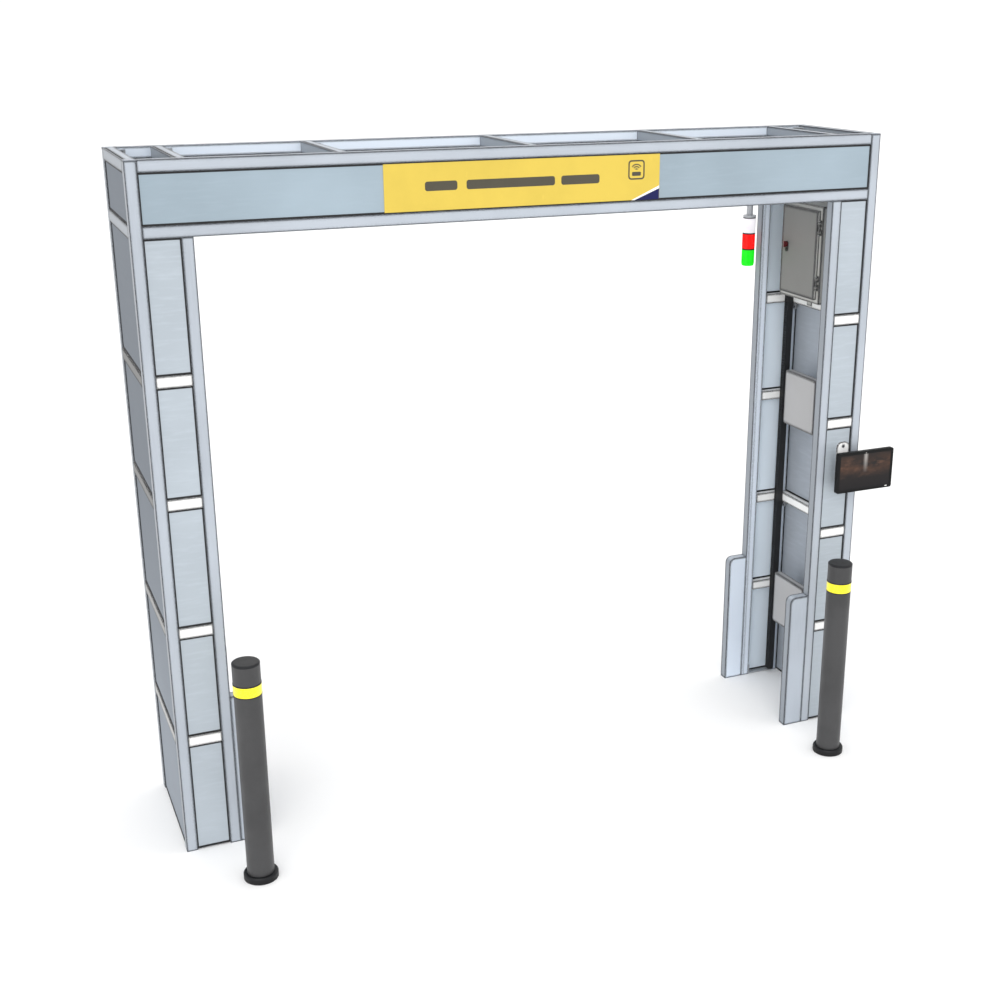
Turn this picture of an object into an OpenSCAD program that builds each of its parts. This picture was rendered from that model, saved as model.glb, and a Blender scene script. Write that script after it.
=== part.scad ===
// Walk-through and drive-through security gate with tag-reading antennas.
// Origin: floor level, centre of the passage. +Z up, the front faces -Y. Millimetres.

/* [Gate frame] */
// Overall width over both pillars
gate_w = 3200; // [2800:10:3600]
// Overall height
gate_h = 2800; // [2760:10:3000]
// Overall depth of the pillars and the beam
gate_d = 620; // [600:5:700]
// Width of one pillar
pillar_w = 225; // [215:5:240]
// Height of the beam across the top
beam_h = 280; // [270:5:300]
// Side of the square frame extrusion
profile = 45; // [44:1:46]
// Wall of the frame extrusion
profile_wall = 3; // [2.5:0.5:3]
// Heights of the crossbars' centres above the floor
bar_levels = [500, 975, 1508, 1990];
// Places of the beam's inner cross members along X
cross_x = [-800, -22, 727];

/* [Infill panels] */
// Thickness of the infill sheets
panel_t = 4; // [3:0.5:4]
// How far the grooves for the sheets lie behind the outer faces
panel_recess = 6; // [5:1:7]
// Depth of the grooves for the sheets
groove_depth = 8; // [6:1:9]

/* [Sign] */
// Width of the sign on the beam
sign_w = 1175; // [600:5:1400]
// Height of the sign
sign_h = 188; // [100:2:188]
// Centre of the sign along X
sign_x = -62; // [-200:1:200]
// Thickness of the sign plate
sign_t = 2.5; // [2:0.5:3]

/* [Fork guards] */
// Width of a guard, out into the passage
guard_w = 95; // [60:5:110]
// Height of a guard
guard_h = 667; // [400:1:900]
// Radius of a guard's upper corner
guard_r = 30; // [15:1:40]
// Wall of a guard's casing
guard_wall = 3; // [2:0.5:4]

/* [Bollards] */
// Places of the left and the right bollard along X
bollard_x = [-1355, 1338];
// How far the bollards stand in front of the gate's centre
bollard_y = 603; // [500:1:800]
// Radius of a post
bollard_r = 54.5; // [45:0.5:60]
// Height of a bollard with its cap
bollard_h = 948; // [700:1:1100]
// Radius of the cover ring at the floor
ring_r = 69.5; // [69:0.5:80]
// Height of the cover ring
ring_h = 28; // [24:1:40]

/* [Cabinet] */
// Width of the cabinet, along the pillar's depth
cab_w = 326; // [320:2:340]
// Height of the cabinet
cab_h = 440; // [430:2:446]
// Width of the door
door_w = 286; // [280:2:290]
// Height of the door
door_h = 400; // [390:2:404]
// Thickness of the door pan
door_t = 14; // [12:1:14]

/* [Antennas] */
// Side of a square antenna
antenna_w = 266; // [200:2:270]
// Thickness of an antenna's cover
antenna_t = 32; // [20:1:40]
// Heights of the lower and the upper antenna's centre
antenna_z = [482, 1532];

/* [Signal tower] */
// Radius of the lamps
lamp_r = 30; // [25:1:36]
// Height of one lamp
lamp_h = 74; // [60:1:76]

/* [Tablet] */
// Width of the tablet
tablet_w = 303; // [250:1:304]
// Height of the tablet
tablet_h = 192; // [150:1:194]
// Thickness of the tablet
tablet_t = 20; // [18:1:22]

/* [Hidden] */
$fn = 48;
eps = 1;

half_w = gate_w / 2;
half_d = gate_d / 2;
clear_h = gate_h - beam_h;
inner_y = half_d - profile;
inner_x = half_w - pillar_w;
member_x = inner_x + profile / 2;
bay_w = pillar_w - 2 * profile;
cap_t = 3;
edge_r = 1.5;

groove_w = panel_t + 0.4;
core_lo = panel_recess + groove_w + 2.6;
tuck = groove_depth - 1;
sheet_y = panel_recess + 0.2;
floor_gap = 5;

shoe_w = 32;
shoe_t = 6;
shoe_tab_h = 50;
shoe_y = half_d - 12;
anchor_r = 6.5;
anchor_step = 65;

bracket_leg = 38;
bracket_t = 4;
bracket_w = 28;
bracket_hole = 24;
screw_r = 4;
screw_hole_r = 4.2;
head_r = 7;
head_h = 4.4;

duct_w = 32;
duct_d = 26;
duct_wall = 2;
duct_x = half_w - profile - duct_w / 2 - 1;
duct_z0 = 20;
duct_z1 = clear_h - 20;
beam_duct_l = 2660;
beam_duct_w = 38;

flange_r = 67;
plate_h = 8;
bolt_circle_r = 60.5;
bollard_hole_r = 4.5;
post_wall = 4;
bollard_cap_h = 8;
band_z = 812;
band_h = 50;

sheet_t = 2;
cab_x = 1427;
cab_back = half_w - profile;
strap_t = 3;
cab_y = -2;
cab_z = 2256;
door_x = cab_x - 2 - door_t;
door_lap = 8;
hinge_x = door_x + door_t / 2;
hinge_y = cab_y - door_w / 2 - 6;
hinge_z = [-125, 125];
knuckle_r = 5;
pin_r = 2.45;
latch_y = 97;
latch_z = 2279;
spindle_r = 5;
cam_l = cab_y + door_w / 2 - door_lap + 7 - latch_y;
cam_x = cab_x + sheet_t + 1;
plate_x = cab_back - strap_t - sheet_t - 5;
rail_z = 2150;
din_depth = 7.5;
toggle_x = 1474;
toggle_r = 6;
toggle_y = -32;
gland_x = 1520;
gland_y = [-95, -60, 60];
gland_r = 9.9;
gland_bore_r = 4.5;

antenna_x = 1470;
antenna_y = 10;
bracket_bars = [bar_levels[0], bar_levels[2]];

tower_x = 1318;
tower_y = 288;
tower_top = 2384;
stem_r = 15;

arm_z = 1286;
pan_x = 1597;
pan_y = -326;
pan_r = 9;
pan_bore_r = 5;
tilt_y = -349;
tilt_r = 6.5;
tilt_bore_r = 4;
ear_t = 5;
barrel_h = 63;
tablet_back = -361;
wall_plate_x = 1516;
button_z = 59;
button_l = 22;
button_w = 5;

// Left side for side = -1, right side for side = 1: children are drawn for the left side.
module on_side(side) {
    mirror([side > 0 ? 1 : 0, 0, 0]) children();
}

// The children, drawn at the front, and their mirror image at the back.
module front_and_back() {
    children();
    mirror([0, 1, 0]) children();
}

// The children on both sides, front and back.
module all_corners() {
    for (side = [-1, 1]) on_side(side) front_and_back() children();
}

module rounded_square(size, r) {
    translate([r, 0]) square([size - 2 * r, size]);
    translate([0, r]) square([size, size - 2 * r]);
    for (x = [r, size - r], y = [r, size - r]) translate([x, y]) circle(r, $fn = 16);
}

// Section of the frame extrusion. Its outer corner is at the origin.
module section(core_x, core_y, right_groove = false, top_groove = false, bottom_groove = false) {
    difference() {
        rounded_square(profile, edge_r);
        translate([core_x, core_y])
            square([profile - profile_wall - core_x, profile - profile_wall - core_y]);
        if (right_groove)
            translate([profile - groove_depth, panel_recess]) square([groove_depth + eps, groove_w]);
        if (top_groove)
            translate([panel_recess, profile - groove_depth]) square([groove_w, groove_depth + eps]);
        if (bottom_groove)
            translate([panel_recess, -eps]) square([groove_w, groove_depth + eps]);
    }
}

module bar_section() {
    section(core_lo, profile_wall, top_groove = true, bottom_groove = true);
}

// A bar along X with its outer front lower edge at p.
module bar_x(p, length) {
    translate(p) rotate([90, 0, 90]) linear_extrude(length) bar_section();
}

// A bar along Y from y = -inner_y to inner_y, with its outer face at x.
module bar_y(x, z) {
    translate([x, inner_y, z]) rotate([90, 0, 0]) linear_extrude(2 * inner_y) bar_section();
}

module pillar_uprights() {
    front_and_back() {
        translate([-half_w, -half_d, 0]) linear_extrude(gate_h - cap_t)
            section(core_lo, core_lo, right_groove = true, top_groove = true);
        translate([-inner_x, -half_d, 0]) mirror([1, 0, 0]) linear_extrude(clear_h)
            section(core_lo, core_lo, right_groove = true);
    }
}

module left_uprights() { color("lightsteelblue") on_side(-1) pillar_uprights(); }

module right_uprights() { color("lightsteelblue") on_side(1) pillar_uprights(); }

module front_rail(z) {
    bar_x([-half_w + profile, -half_d, z], gate_w - 2 * profile);
}

module front_top_rail() { color("lightsteelblue") front_rail(gate_h - profile); }

module front_bottom_rail() { color("lightsteelblue") front_rail(clear_h); }

module back_top_rail() {
    color("lightsteelblue") mirror([0, 1, 0]) front_rail(gate_h - profile);
}

module back_bottom_rail() {
    color("lightsteelblue") mirror([0, 1, 0]) front_rail(clear_h);
}

// End rails, the members over the inner uprights and the ones between them.
module beam_cross_members() {
    color("lightsteelblue") {
        for (side = [-1, 1], z = [clear_h, gate_h - profile]) on_side(side) {
            bar_y(-half_w, z);
            bar_y(-member_x - profile / 2, z);
        }
        for (x = cross_x) bar_y(x - profile / 2, gate_h - profile);
    }
}

module pillar_crossbars() {
    for (level = bar_levels) {
        front_and_back() bar_x([-half_w + profile, -half_d, level - profile / 2], bay_w);
        bar_y(-half_w, level - profile / 2);
    }
}

module left_crossbars() { color("white") on_side(-1) pillar_crossbars(); }

module right_crossbars() { color("white") on_side(1) pillar_crossbars(); }

// Lower and upper edge of each sheet between the crossbars.
field_count = len(bar_levels) + 1;
function field_lo(i) = i == 0 ? floor_gap : bar_levels[i - 1] + profile / 2 - tuck;
function field_hi(i) = i == field_count - 1 ? clear_h + tuck : bar_levels[i] - profile / 2 + tuck;

module pillar_front_panels() {
    for (i = [0 : field_count - 1])
        translate([-half_w + profile - tuck, -half_d + sheet_y, field_lo(i)])
            cube([bay_w + 2 * tuck, panel_t, field_hi(i) - field_lo(i)]);
}

module pillar_side_panels() {
    for (i = [0 : field_count - 1])
        translate([-half_w + sheet_y, -inner_y - tuck, field_lo(i)])
            cube([panel_t, 2 * (inner_y + tuck), field_hi(i) - field_lo(i)]);
}

module left_front_panels() { color("lightblue") on_side(-1) pillar_front_panels(); }

module left_side_panels() { color("lightblue") on_side(-1) pillar_side_panels(); }

module left_back_panels() {
    color("lightblue") mirror([0, 1, 0]) on_side(-1) pillar_front_panels();
}

module right_front_panels() { color("lightblue") on_side(1) pillar_front_panels(); }

module right_side_panels() { color("lightblue") on_side(1) pillar_side_panels(); }

module right_back_panels() {
    color("lightblue") mirror([0, 1, 0]) on_side(1) pillar_front_panels();
}

beam_sheet_z = clear_h + profile - tuck;
beam_sheet_h = beam_h - 2 * profile + 2 * tuck;

module beam_sheet() {
    translate([-half_w + profile - tuck, -half_d + sheet_y, beam_sheet_z])
        cube([gate_w - 2 * profile + 2 * tuck, panel_t, beam_sheet_h]);
}

module beam_front_panel() { color("lightblue") beam_sheet(); }

module beam_back_panel() { color("lightblue") mirror([0, 1, 0]) beam_sheet(); }

module beam_end_panels() {
    color("lightblue") for (side = [-1, 1]) on_side(side)
        translate([-half_w + sheet_y, -inner_y - tuck, beam_sheet_z])
            cube([panel_t, 2 * (inner_y + tuck), beam_sheet_h]);
}

module upright_caps() {
    color("gainsboro") all_corners()
        translate([-half_w, -half_d, gate_h - cap_t]) linear_extrude(cap_t)
            rounded_square(profile, edge_r);
}

// Angle bracket in the corner of +X and +Y, centred on z = 0.
module bracket() {
    difference() {
        union() {
            translate([0, 0, -bracket_w / 2]) cube([bracket_leg, bracket_t, bracket_w]);
            translate([0, 0, -bracket_w / 2]) cube([bracket_t, bracket_leg, bracket_w]);
            for (z = [-bracket_w / 2, bracket_w / 2 - 3]) translate([0, 0, z]) linear_extrude(3)
                polygon([[0, 0], [bracket_leg, 0], [bracket_leg, bracket_t],
                    [bracket_t, bracket_leg], [0, bracket_leg]]);
        }
        translate([bracket_hole, -eps, 0]) rotate([-90, 0, 0])
            cylinder(r = screw_hole_r, h = bracket_t + 2 * eps);
        translate([-eps, bracket_hole, 0]) rotate([0, 90, 0])
            cylinder(r = screw_hole_r, h = bracket_t + 2 * eps);
    }
}

// Button-head screw with its head on z = 0 and its shank through a plate of thickness t below.
module screw(t) {
    translate([0, 0, -t]) cylinder(r = screw_r, h = t);
    rotate_extrude() polygon([[0, 0], [head_r, 0], [head_r, head_h * 0.35],
        [head_r * 0.55, head_h], [0, head_h]]);
}

module at_wall_plate_holes() {
    for (z = [arm_z - 38, arm_z + 109]) translate([wall_plate_x, -half_d, z])
        rotate([90, 0, 0]) children();
}

module bracket_screws() {
    translate([bracket_hole, bracket_t, 0]) rotate([-90, 0, 0]) screw(bracket_t);
    translate([bracket_t, bracket_hole, 0]) rotate([0, 90, 0]) screw(bracket_t);
}

// Children once at each place of an angle bracket, in the bracket's own frame.
module at_brackets() {
    all_corners() {
        for (level = bar_levels)
            translate([-half_w + profile - 3.5 - bracket_w / 2 - 1, -inner_y, level - profile / 2])
                rotate([-90, 0, 90]) children();
        for (z = [clear_h, gate_h - profile])
            translate([-half_w + profile, -inner_y, z + profile / 2]) children();
        translate([-inner_x - profile, -half_d + profile - 17, clear_h])
            rotate([-90, 0, 180]) children();
    }
    front_and_back() {
        for (x = [-member_x, member_x], z = [clear_h, gate_h - profile])
            translate([x + profile / 2, -inner_y, z + profile / 2]) children();
        for (x = cross_x)
            translate([x + profile / 2, -inner_y, gate_h - profile / 2]) children();
    }
}

module corner_brackets() { color("silver") at_brackets() bracket(); }

module at_shoe_tabs() {
    all_corners() {
        translate([-half_w + profile + shoe_t, -shoe_y + shoe_w / 2, shoe_tab_h - 15])
            rotate([0, 90, 0]) children();
        translate([-inner_x - profile - shoe_t, -shoe_y + shoe_w / 2, shoe_tab_h - 15])
            rotate([0, -90, 0]) children();
    }
}

module frame_screws() {
    color("dimgray") {
        at_brackets() bracket_screws();
        at_shoe_tabs() screw(shoe_t);
        at_wall_plate_holes() screw(sheet_y);
    }
}

// Trough between the two uprights of one face of a pillar, with two anchor holes.
module floor_shoes() {
    color("silver") all_corners() difference() {
        translate([-half_w + profile, -shoe_y, 0]) union() {
            cube([bay_w, shoe_w, shoe_t]);
            for (x = [0, bay_w - shoe_t]) translate([x, 0, 0]) cube([shoe_t, shoe_w, shoe_tab_h]);
        }
        for (s = [-0.5, 0.5])
            translate([-half_w + pillar_w / 2 + s * anchor_step, -shoe_y + shoe_w / 2, -eps])
                cylinder(r = anchor_r, h = shoe_t + 2 * eps);
        translate([-half_w + profile - eps, -shoe_y + shoe_w / 2, shoe_tab_h - 15])
            rotate([0, 90, 0]) cylinder(r = screw_hole_r, h = bay_w + 2 * eps);
    }
}

// Open wiring channel along +Z: its back is on y = 0 and it opens towards -Y.
module channel(w, d, length) {
    difference() {
        translate([-w / 2, -d, 0]) cube([w, d, length]);
        translate([-w / 2 + duct_wall, -d - eps, -eps])
            cube([w - 2 * duct_wall, d - duct_wall + eps, length + 2 * eps]);
    }
}

module channel_cover(w, d, length) {
    translate([-w / 2, -d - duct_wall, 0]) cube([w, duct_wall, length]);
    for (s = [-1, 1])
        translate([s * (w / 2 - duct_wall - 1) - 0.75, -d, 0]) cube([1.5, 4, length]);
}

module at_beam_duct() {
    translate([-beam_duct_l / 2, inner_y, clear_h + profile / 2]) rotate([0, 90, 0]) children();
}

module cable_ducts() {
    color([0.1, 0.1, 0.11]) {
        translate([duct_x, inner_y, duct_z0])
            channel(duct_w, duct_d, duct_z1 - duct_z0);
        at_beam_duct() channel(beam_duct_w, beam_duct_w, beam_duct_l);
    }
}

module cable_duct_covers() {
    color([0.08, 0.08, 0.09]) {
        translate([duct_x, inner_y, duct_z0])
            channel_cover(duct_w, duct_d, duct_z1 - duct_z0);
        at_beam_duct() channel_cover(beam_duct_w, beam_duct_w, beam_duct_l);
    }
}

module sign_plate() {
    color("gold")
        translate([sign_x - sign_w / 2, -half_d + sheet_y - sign_t,
            clear_h + beam_h / 2 - sign_h / 2])
            cube([sign_w, sign_t, sign_h]);
}

module guard_outline(inset) {
    r = guard_r - inset;
    translate([inset, inset]) square([guard_w - inset + (inset > 0 ? eps : 0), guard_h - inset - guard_r]);
    translate([guard_r, inset]) square([guard_w - guard_r + (inset > 0 ? eps : 0), guard_h - 2 * inset]);
    translate([guard_r, guard_h - guard_r]) circle(r);
}

// Casing that is open towards the upright that carries it.
module guard() {
    difference() {
        rotate([90, 0, 0]) linear_extrude(profile) guard_outline(0);
        translate([0, -guard_wall, 0]) rotate([90, 0, 0]) linear_extrude(profile - 2 * guard_wall)
            guard_outline(guard_wall);
    }
}

module pillar_guards() {
    front_and_back() translate([-inner_x + guard_w, -inner_y, 0]) mirror([1, 0, 0]) guard();
}

module left_guards() { color("lightsteelblue") on_side(-1) pillar_guards(); }

module right_guards() { color("lightsteelblue") on_side(1) pillar_guards(); }

module at_bollards() {
    for (x = bollard_x) translate([x, -bollard_y, 0]) children();
}

module bollard_posts() {
    color([0.35, 0.35, 0.35]) at_bollards() translate([0, 0, plate_h]) difference() {
        cylinder(r = bollard_r, h = bollard_h - bollard_cap_h - plate_h, $fn = 96);
        translate([0, 0, -eps])
            cylinder(r = bollard_r - post_wall, h = bollard_h, $fn = 96);
    }
}

module bollard_caps() {
    color([0.2, 0.2, 0.2]) at_bollards() translate([0, 0, bollard_h - bollard_cap_h]) {
        rotate_extrude($fn = 96) polygon([[0, 0], [bollard_r, 0], [bollard_r, 4],
            [bollard_r - 3, 7], [bollard_r - 8, bollard_cap_h], [0, bollard_cap_h]]);
        translate([0, 0, -15]) cylinder(r = bollard_r - post_wall - 0.3, h = 15, $fn = 96);
    }
}

module bollard_bands() {
    color("yellow") at_bollards() translate([0, 0, band_z]) difference() {
        cylinder(r = bollard_r + 1, h = band_h, $fn = 96);
        translate([0, 0, -eps]) cylinder(r = bollard_r, h = band_h + 2 * eps, $fn = 96);
    }
}

module bollard_base_plates() {
    color("dimgray") at_bollards() difference() {
        cylinder(r = flange_r, h = plate_h, $fn = 96);
        for (a = [45 : 90 : 315]) rotate([0, 0, a]) translate([bolt_circle_r, 0, -eps])
            cylinder(r = bollard_hole_r, h = plate_h + 2 * eps);
    }
}

module bollard_base_rings() {
    color([0.12, 0.12, 0.12]) at_bollards() difference() {
        rotate_extrude($fn = 96) polygon([[bollard_r + 0.3, 0], [ring_r, 0], [ring_r, ring_h - 6],
            [ring_r - 4, ring_h], [bollard_r + 0.3, ring_h]]);
        translate([0, 0, -eps]) cylinder(r = flange_r + 0.2, h = ring_h - 6 + eps, $fn = 96);
    }
}

// Children at each antenna: x = 0 is the antenna's front face, +X leads to the side bars.
module at_antennas() {
    for (side = [-1, 1], i = [0, 1]) mirror([side < 0 ? 1 : 0, 0, 0])
        translate([antenna_x, antenna_y, antenna_z[i]]) children();
}

// Square cover with rounded edges and a slightly stepped front.
module antenna_covers() {
    r = 12;
    color("gainsboro") at_antennas() difference() {
        union() {
            translate([4, 0, 0]) rotate([0, 90, 0]) linear_extrude(antenna_t - 4)
                translate([-antenna_w / 2, -antenna_w / 2]) rounded_square(antenna_w, r);
            rotate([0, 90, 0]) linear_extrude(4)
                translate([-antenna_w / 2 + 5, -antenna_w / 2 + 5]) rounded_square(antenna_w - 10, r);
        }
        translate([3, -antenna_w / 2 + 8, -antenna_w / 2 + 8])
            cube([antenna_t, antenna_w - 16, antenna_w - 16]);
    }
}

module antenna_back_plates() {
    color("silver") at_antennas() translate([antenna_t, -antenna_w / 2 + 2, -antenna_w / 2 + 2]) {
        cube([3, antenna_w - 4, antenna_w - 4]);
        translate([-antenna_t + 10, antenna_w / 2 - 75, antenna_w / 2 - 75]) cube([4, 146, 146]);
        translate([-antenna_t + 14, antenna_w / 2 - 2, antenna_w / 2 - 2])
            rotate([0, 90, 0]) cylinder(r = 8, h = antenna_t - 14);
        translate([3, antenna_w / 2 - 2, 40]) rotate([0, 90, 0]) cylinder(r = 7, h = 16);
    }
}

// Hat-shaped bracket from a side bar to an antenna's back plate.
module antenna_brackets() {
    front = antenna_x + antenna_t + 3;
    depth = cab_back - front;
    color("silver") for (side = [-1, 1], level = bracket_bars) mirror([side < 0 ? 1 : 0, 0, 0])
        translate([front, antenna_y, level - 20]) {
            translate([0, -40, 0]) cube([3, 80, 40]);
            for (s = [-1, 1]) {
                translate([0, s > 0 ? 37 : -40, 0]) cube([depth, 3, 40]);
                translate([depth - 3, s > 0 ? 37 : -65, 0]) cube([3, 28, 40]);
            }
        }
}

module tower_stem() {
    color("silver") translate([tower_x, tower_y, 0]) {
        translate([-46, -21, clear_h - 6]) cube([92, 42, 6]);
        translate([0, 0, tower_top + 10]) cylinder(r = stem_r, h = clear_h - 6 - tower_top - 10);
        translate([0, 0, tower_top]) cylinder(r = lamp_r, h = 10);
    }
}

// Hollow lamp under the one before it. A rounded one closes the tower.
module lamp(index, rounded) {
    translate([tower_x, tower_y, tower_top - (index + 1) * lamp_h]) difference() {
        union() {
            cylinder(r = lamp_r, h = lamp_h);
            if (rounded) rotate_extrude() polygon([[0, 0], [lamp_r, 0], [lamp_r - 1, -3],
                [lamp_r - 4, -6], [lamp_r - 9, -8], [0, -8]]);
        }
        translate([0, 0, 4]) cylinder(r = lamp_r - 2.5, h = lamp_h);
    }
}

module white_lamp() { color("white") lamp(0, false); }

module red_lamp() { color("red") lamp(1, false); }

module green_lamp() { color("lime") lamp(2, true); }

// Box around the cabinet's axis, from x0 to x1, w wide and h high.
module cab_box(x0, x1, w, h) {
    translate([x0, cab_y - w / 2, cab_z - h / 2]) cube([x1 - x0, w, h]);
}

// One knuckle around the door's hinge axis, from z0 to z1 about the hinge's middle.
module knuckle(z, z0, z1) {
    translate([hinge_x, hinge_y, cab_z + z + z0]) cylinder(r = knuckle_r, h = z1 - z0);
}

module hinge_bore(z, r) {
    translate([hinge_x, hinge_y, cab_z + z - 40]) cylinder(r = r, h = 80);
}

module cabinet_body() {
    back = cab_back - strap_t;
    color("gray") difference() {
        union() {
            cab_box(cab_x, back, cab_w, cab_h);
            for (y = [-100, 96])
                translate([back, y - 20, 1978]) cube([strap_t, 40, clear_h + 20 - 1978]);
            for (z = hinge_z, k = [-30, 10]) {
                knuckle(z, k, k + 20);
                translate([hinge_x, hinge_y - 5, cab_z + z + k]) cube([cab_x - hinge_x + 0.5, 6, 20]);
            }
        }
        cab_box(cab_x + sheet_t, back - sheet_t, cab_w - 2 * sheet_t, cab_h - 2 * sheet_t);
        cab_box(cab_x - eps, cab_x + 2 * sheet_t, door_w - 2 * door_lap, door_h - 2 * door_lap);
        for (z = hinge_z) hinge_bore(z, pin_r);
        for (y = gland_y) translate([gland_x, y, cab_z - cab_h / 2 - eps])
            cylinder(r = gland_r + 0.1, h = sheet_t + 2 * eps);
    }
}

module cabinet_door() {
    skin = 1.5;
    color("gray") difference() {
        union() {
            difference() {
                cab_box(door_x, door_x + door_t, door_w, door_h);
                cab_box(door_x + skin, door_x + door_t + eps, door_w - 10, door_h - 10);
            }
            for (z = hinge_z) {
                knuckle(z, -9.7, 9.7);
                translate([hinge_x - 4, hinge_y, cab_z + z - 9.7]) cube([8, 8, 19.4]);
            }
        }
        for (z = hinge_z) hinge_bore(z, pin_r + 0.05);
        translate([door_x - eps, latch_y, latch_z]) rotate([0, 90, 0]) cylinder(r = 9.1, h = 6);
        translate([door_x - eps, latch_y, latch_z - 22]) rotate([0, 90, 0]) cylinder(r = 6.1, h = 6);
    }
}

module cabinet_gasket() {
    color([0.1, 0.1, 0.1]) difference() {
        cab_box(door_x + door_t, cab_x - 0.2, door_w - 2, door_h - 2);
        cab_box(door_x, cab_x + eps, door_w - 2 * door_lap, door_h - 2 * door_lap);
    }
}

module cabinet_hinge_pins() {
    color("silver") for (z = hinge_z) translate([hinge_x, hinge_y, cab_z + z - 32]) {
        cylinder(r = pin_r, h = 62);
        translate([0, 0, 62]) cylinder(r = 4, h = 2);
    }
}

// Escutcheon, the barrel that the spindle turns in, and the key cylinder.
module latch_housing() {
    color([0.1, 0.1, 0.1]) difference() {
        translate([0, latch_y, 0]) union() {
            translate([door_x - 3, -13, latch_z - 22]) cube([3, 26, 22]);
            for (z = [latch_z - 22, latch_z]) translate([door_x - 3, 0, z]) rotate([0, 90, 0])
                cylinder(r = 13, h = 3);
            translate([door_x - 1, 0, latch_z]) rotate([0, 90, 0]) cylinder(r = 9, h = door_t + 2);
            translate([door_x - 6, 0, latch_z - 22]) rotate([0, 90, 0]) cylinder(r = 6, h = 18);
        }
        translate([door_x - 10, latch_y, latch_z]) rotate([0, 90, 0])
            cylinder(r = spindle_r + 0.05, h = door_t + 30);
        translate([door_x - 7, latch_y - 0.8, latch_z - 22 - 3.5]) cube([4, 1.6, 7]);
    }
}

module latch_knob() {
    color([0.45, 0.05, 0.05]) translate([0, latch_y, latch_z]) rotate([0, 90, 0]) {
        translate([0, 0, door_x - 4]) cylinder(r = spindle_r, h = cam_x + 8 - door_x);
        translate([0, 0, door_x - 9]) cylinder(r = 12, h = 5);
        translate([-14, -4, door_x - 19]) cube([28, 8, 10.5]);
    }
}

// Points up, inside the door's opening, when the latch is open.
module latch_cam() {
    color("silver") difference() {
        translate([cam_x, latch_y, latch_z]) union() {
            rotate([0, 90, 0]) cylinder(r = 10, h = 4);
            translate([0, -8, 0]) cube([4, 16, cam_l]);
        }
        translate([door_x, latch_y, latch_z]) rotate([0, 90, 0]) cylinder(r = spindle_r, h = 40);
    }
}

module mounting_plate() {
    color("silver") {
        cab_box(plate_x, plate_x + 2, door_w, door_h);
        for (y = [-1, 1], z = [-1, 1])
            translate([plate_x + 2, cab_y + y * 130, cab_z + z * 187]) rotate([0, 90, 0])
                cylinder(r = 5, h = 3);
    }
}

// Top-hat rail, 35 mm high, along Y.
module din_rail() {
    x = plate_x - din_depth;
    color("silver") translate([0, 126, rail_z]) rotate([90, 0, 0]) linear_extrude(256)
        polygon([[x, 17.5], [x + 1, 17.5], [x + 1, 13.5], [plate_x, 13.5], [plate_x, -13.5],
            [x + 1, -13.5], [x + 1, -17.5], [x, -17.5], [x, -12.5], [plate_x - 1, -12.5],
            [plate_x - 1, 12.5], [x, 12.5]]);
}

// Flat metal box with cooling ribs on its front and four antenna sockets below.
module rfid_reader() {
    color([0.25, 0.27, 0.3]) translate([plate_x - 40, -95, 2245]) {
        translate([4, 0, 0]) cube([36, 190, 175]);
        for (i = [0 : 8]) translate([0, 12 + i * 20, 12]) cube([5, 6, 151]);
        for (i = [0 : 3]) translate([20, 35 + i * 40, -10]) cylinder(r = 5, h = 11);
    }
}

module power_supply() {
    color("silver") translate([plate_x - din_depth - 84, -122, rail_z - 62]) {
        difference() {
            cube([84, 56, 124]);
            for (i = [0 : 5]) translate([14 + i * 11, -eps, 98]) cube([5, 3, 20]);
        }
        translate([-3, 6, 8]) cube([4, 44, 16]);
        translate([-3, 6, 100]) cube([4, 44, 16]);
    }
}

module circuit_breaker() {
    front = toggle_x - 6;
    color("white") difference() {
        union() {
            translate([front + 8, toggle_y - 18, rail_z - 42])
                cube([plate_x - din_depth - front - 8, 36, 84]);
            translate([front, toggle_y - 18, rail_z - 23]) cube([9, 36, 46]);
        }
        translate([front - eps, toggle_y - 7.5, rail_z - 9]) cube([16, 15, 18]);
    }
}

// Lever that turns about Y in the breaker's slot. It points down and out when off.
module breaker_toggle() {
    color([0.1, 0.1, 0.1]) translate([toggle_x + 1, toggle_y - 7, rail_z]) {
        rotate([-90, 0, 0]) cylinder(r = toggle_r, h = 14);
        rotate([0, -25, 0]) translate([-15, 1, -2.5]) cube([15, 12, 5]);
    }
}

// Three glands in the cabinet's floor, each with a through bore for one lead.
module cable_glands() {
    bottom = cab_z - cab_h / 2;
    color([0.15, 0.15, 0.16]) for (y = gland_y) translate([gland_x, y, bottom]) difference() {
        union() {
            translate([0, 0, -8]) cylinder(r = 13, h = 8, $fn = 6);
            translate([0, 0, -22]) cylinder(r = 11, h = 15);
            cylinder(r = gland_r, h = 12);
            translate([0, 0, sheet_t]) cylinder(r = 13, h = 5, $fn = 6);
        }
        translate([0, 0, -22 - eps]) cylinder(r = gland_bore_r, h = 34 + 2 * eps);
    }
}

// Plate with round upper corners on the pillar's front sheet.
module tablet_wall_plate() {
    w = 66;
    lo = arm_z - 50;
    hi = arm_z + 129;
    r = 24;
    color("white") difference() {
        translate([wall_plate_x - w / 2, -half_d + sheet_y, 0]) rotate([90, 0, 0])
            linear_extrude(sheet_y) {
                translate([0, lo]) square([w, hi - r - lo]);
                translate([r, lo]) square([w - 2 * r, hi - lo]);
                for (x = [r, w - r]) translate([x, hi - r]) circle(r);
            }
        at_wall_plate_holes() translate([0, 0, -sheet_y - eps])
            cylinder(r = screw_hole_r, h = sheet_y + 2 * eps);
    }
}

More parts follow.
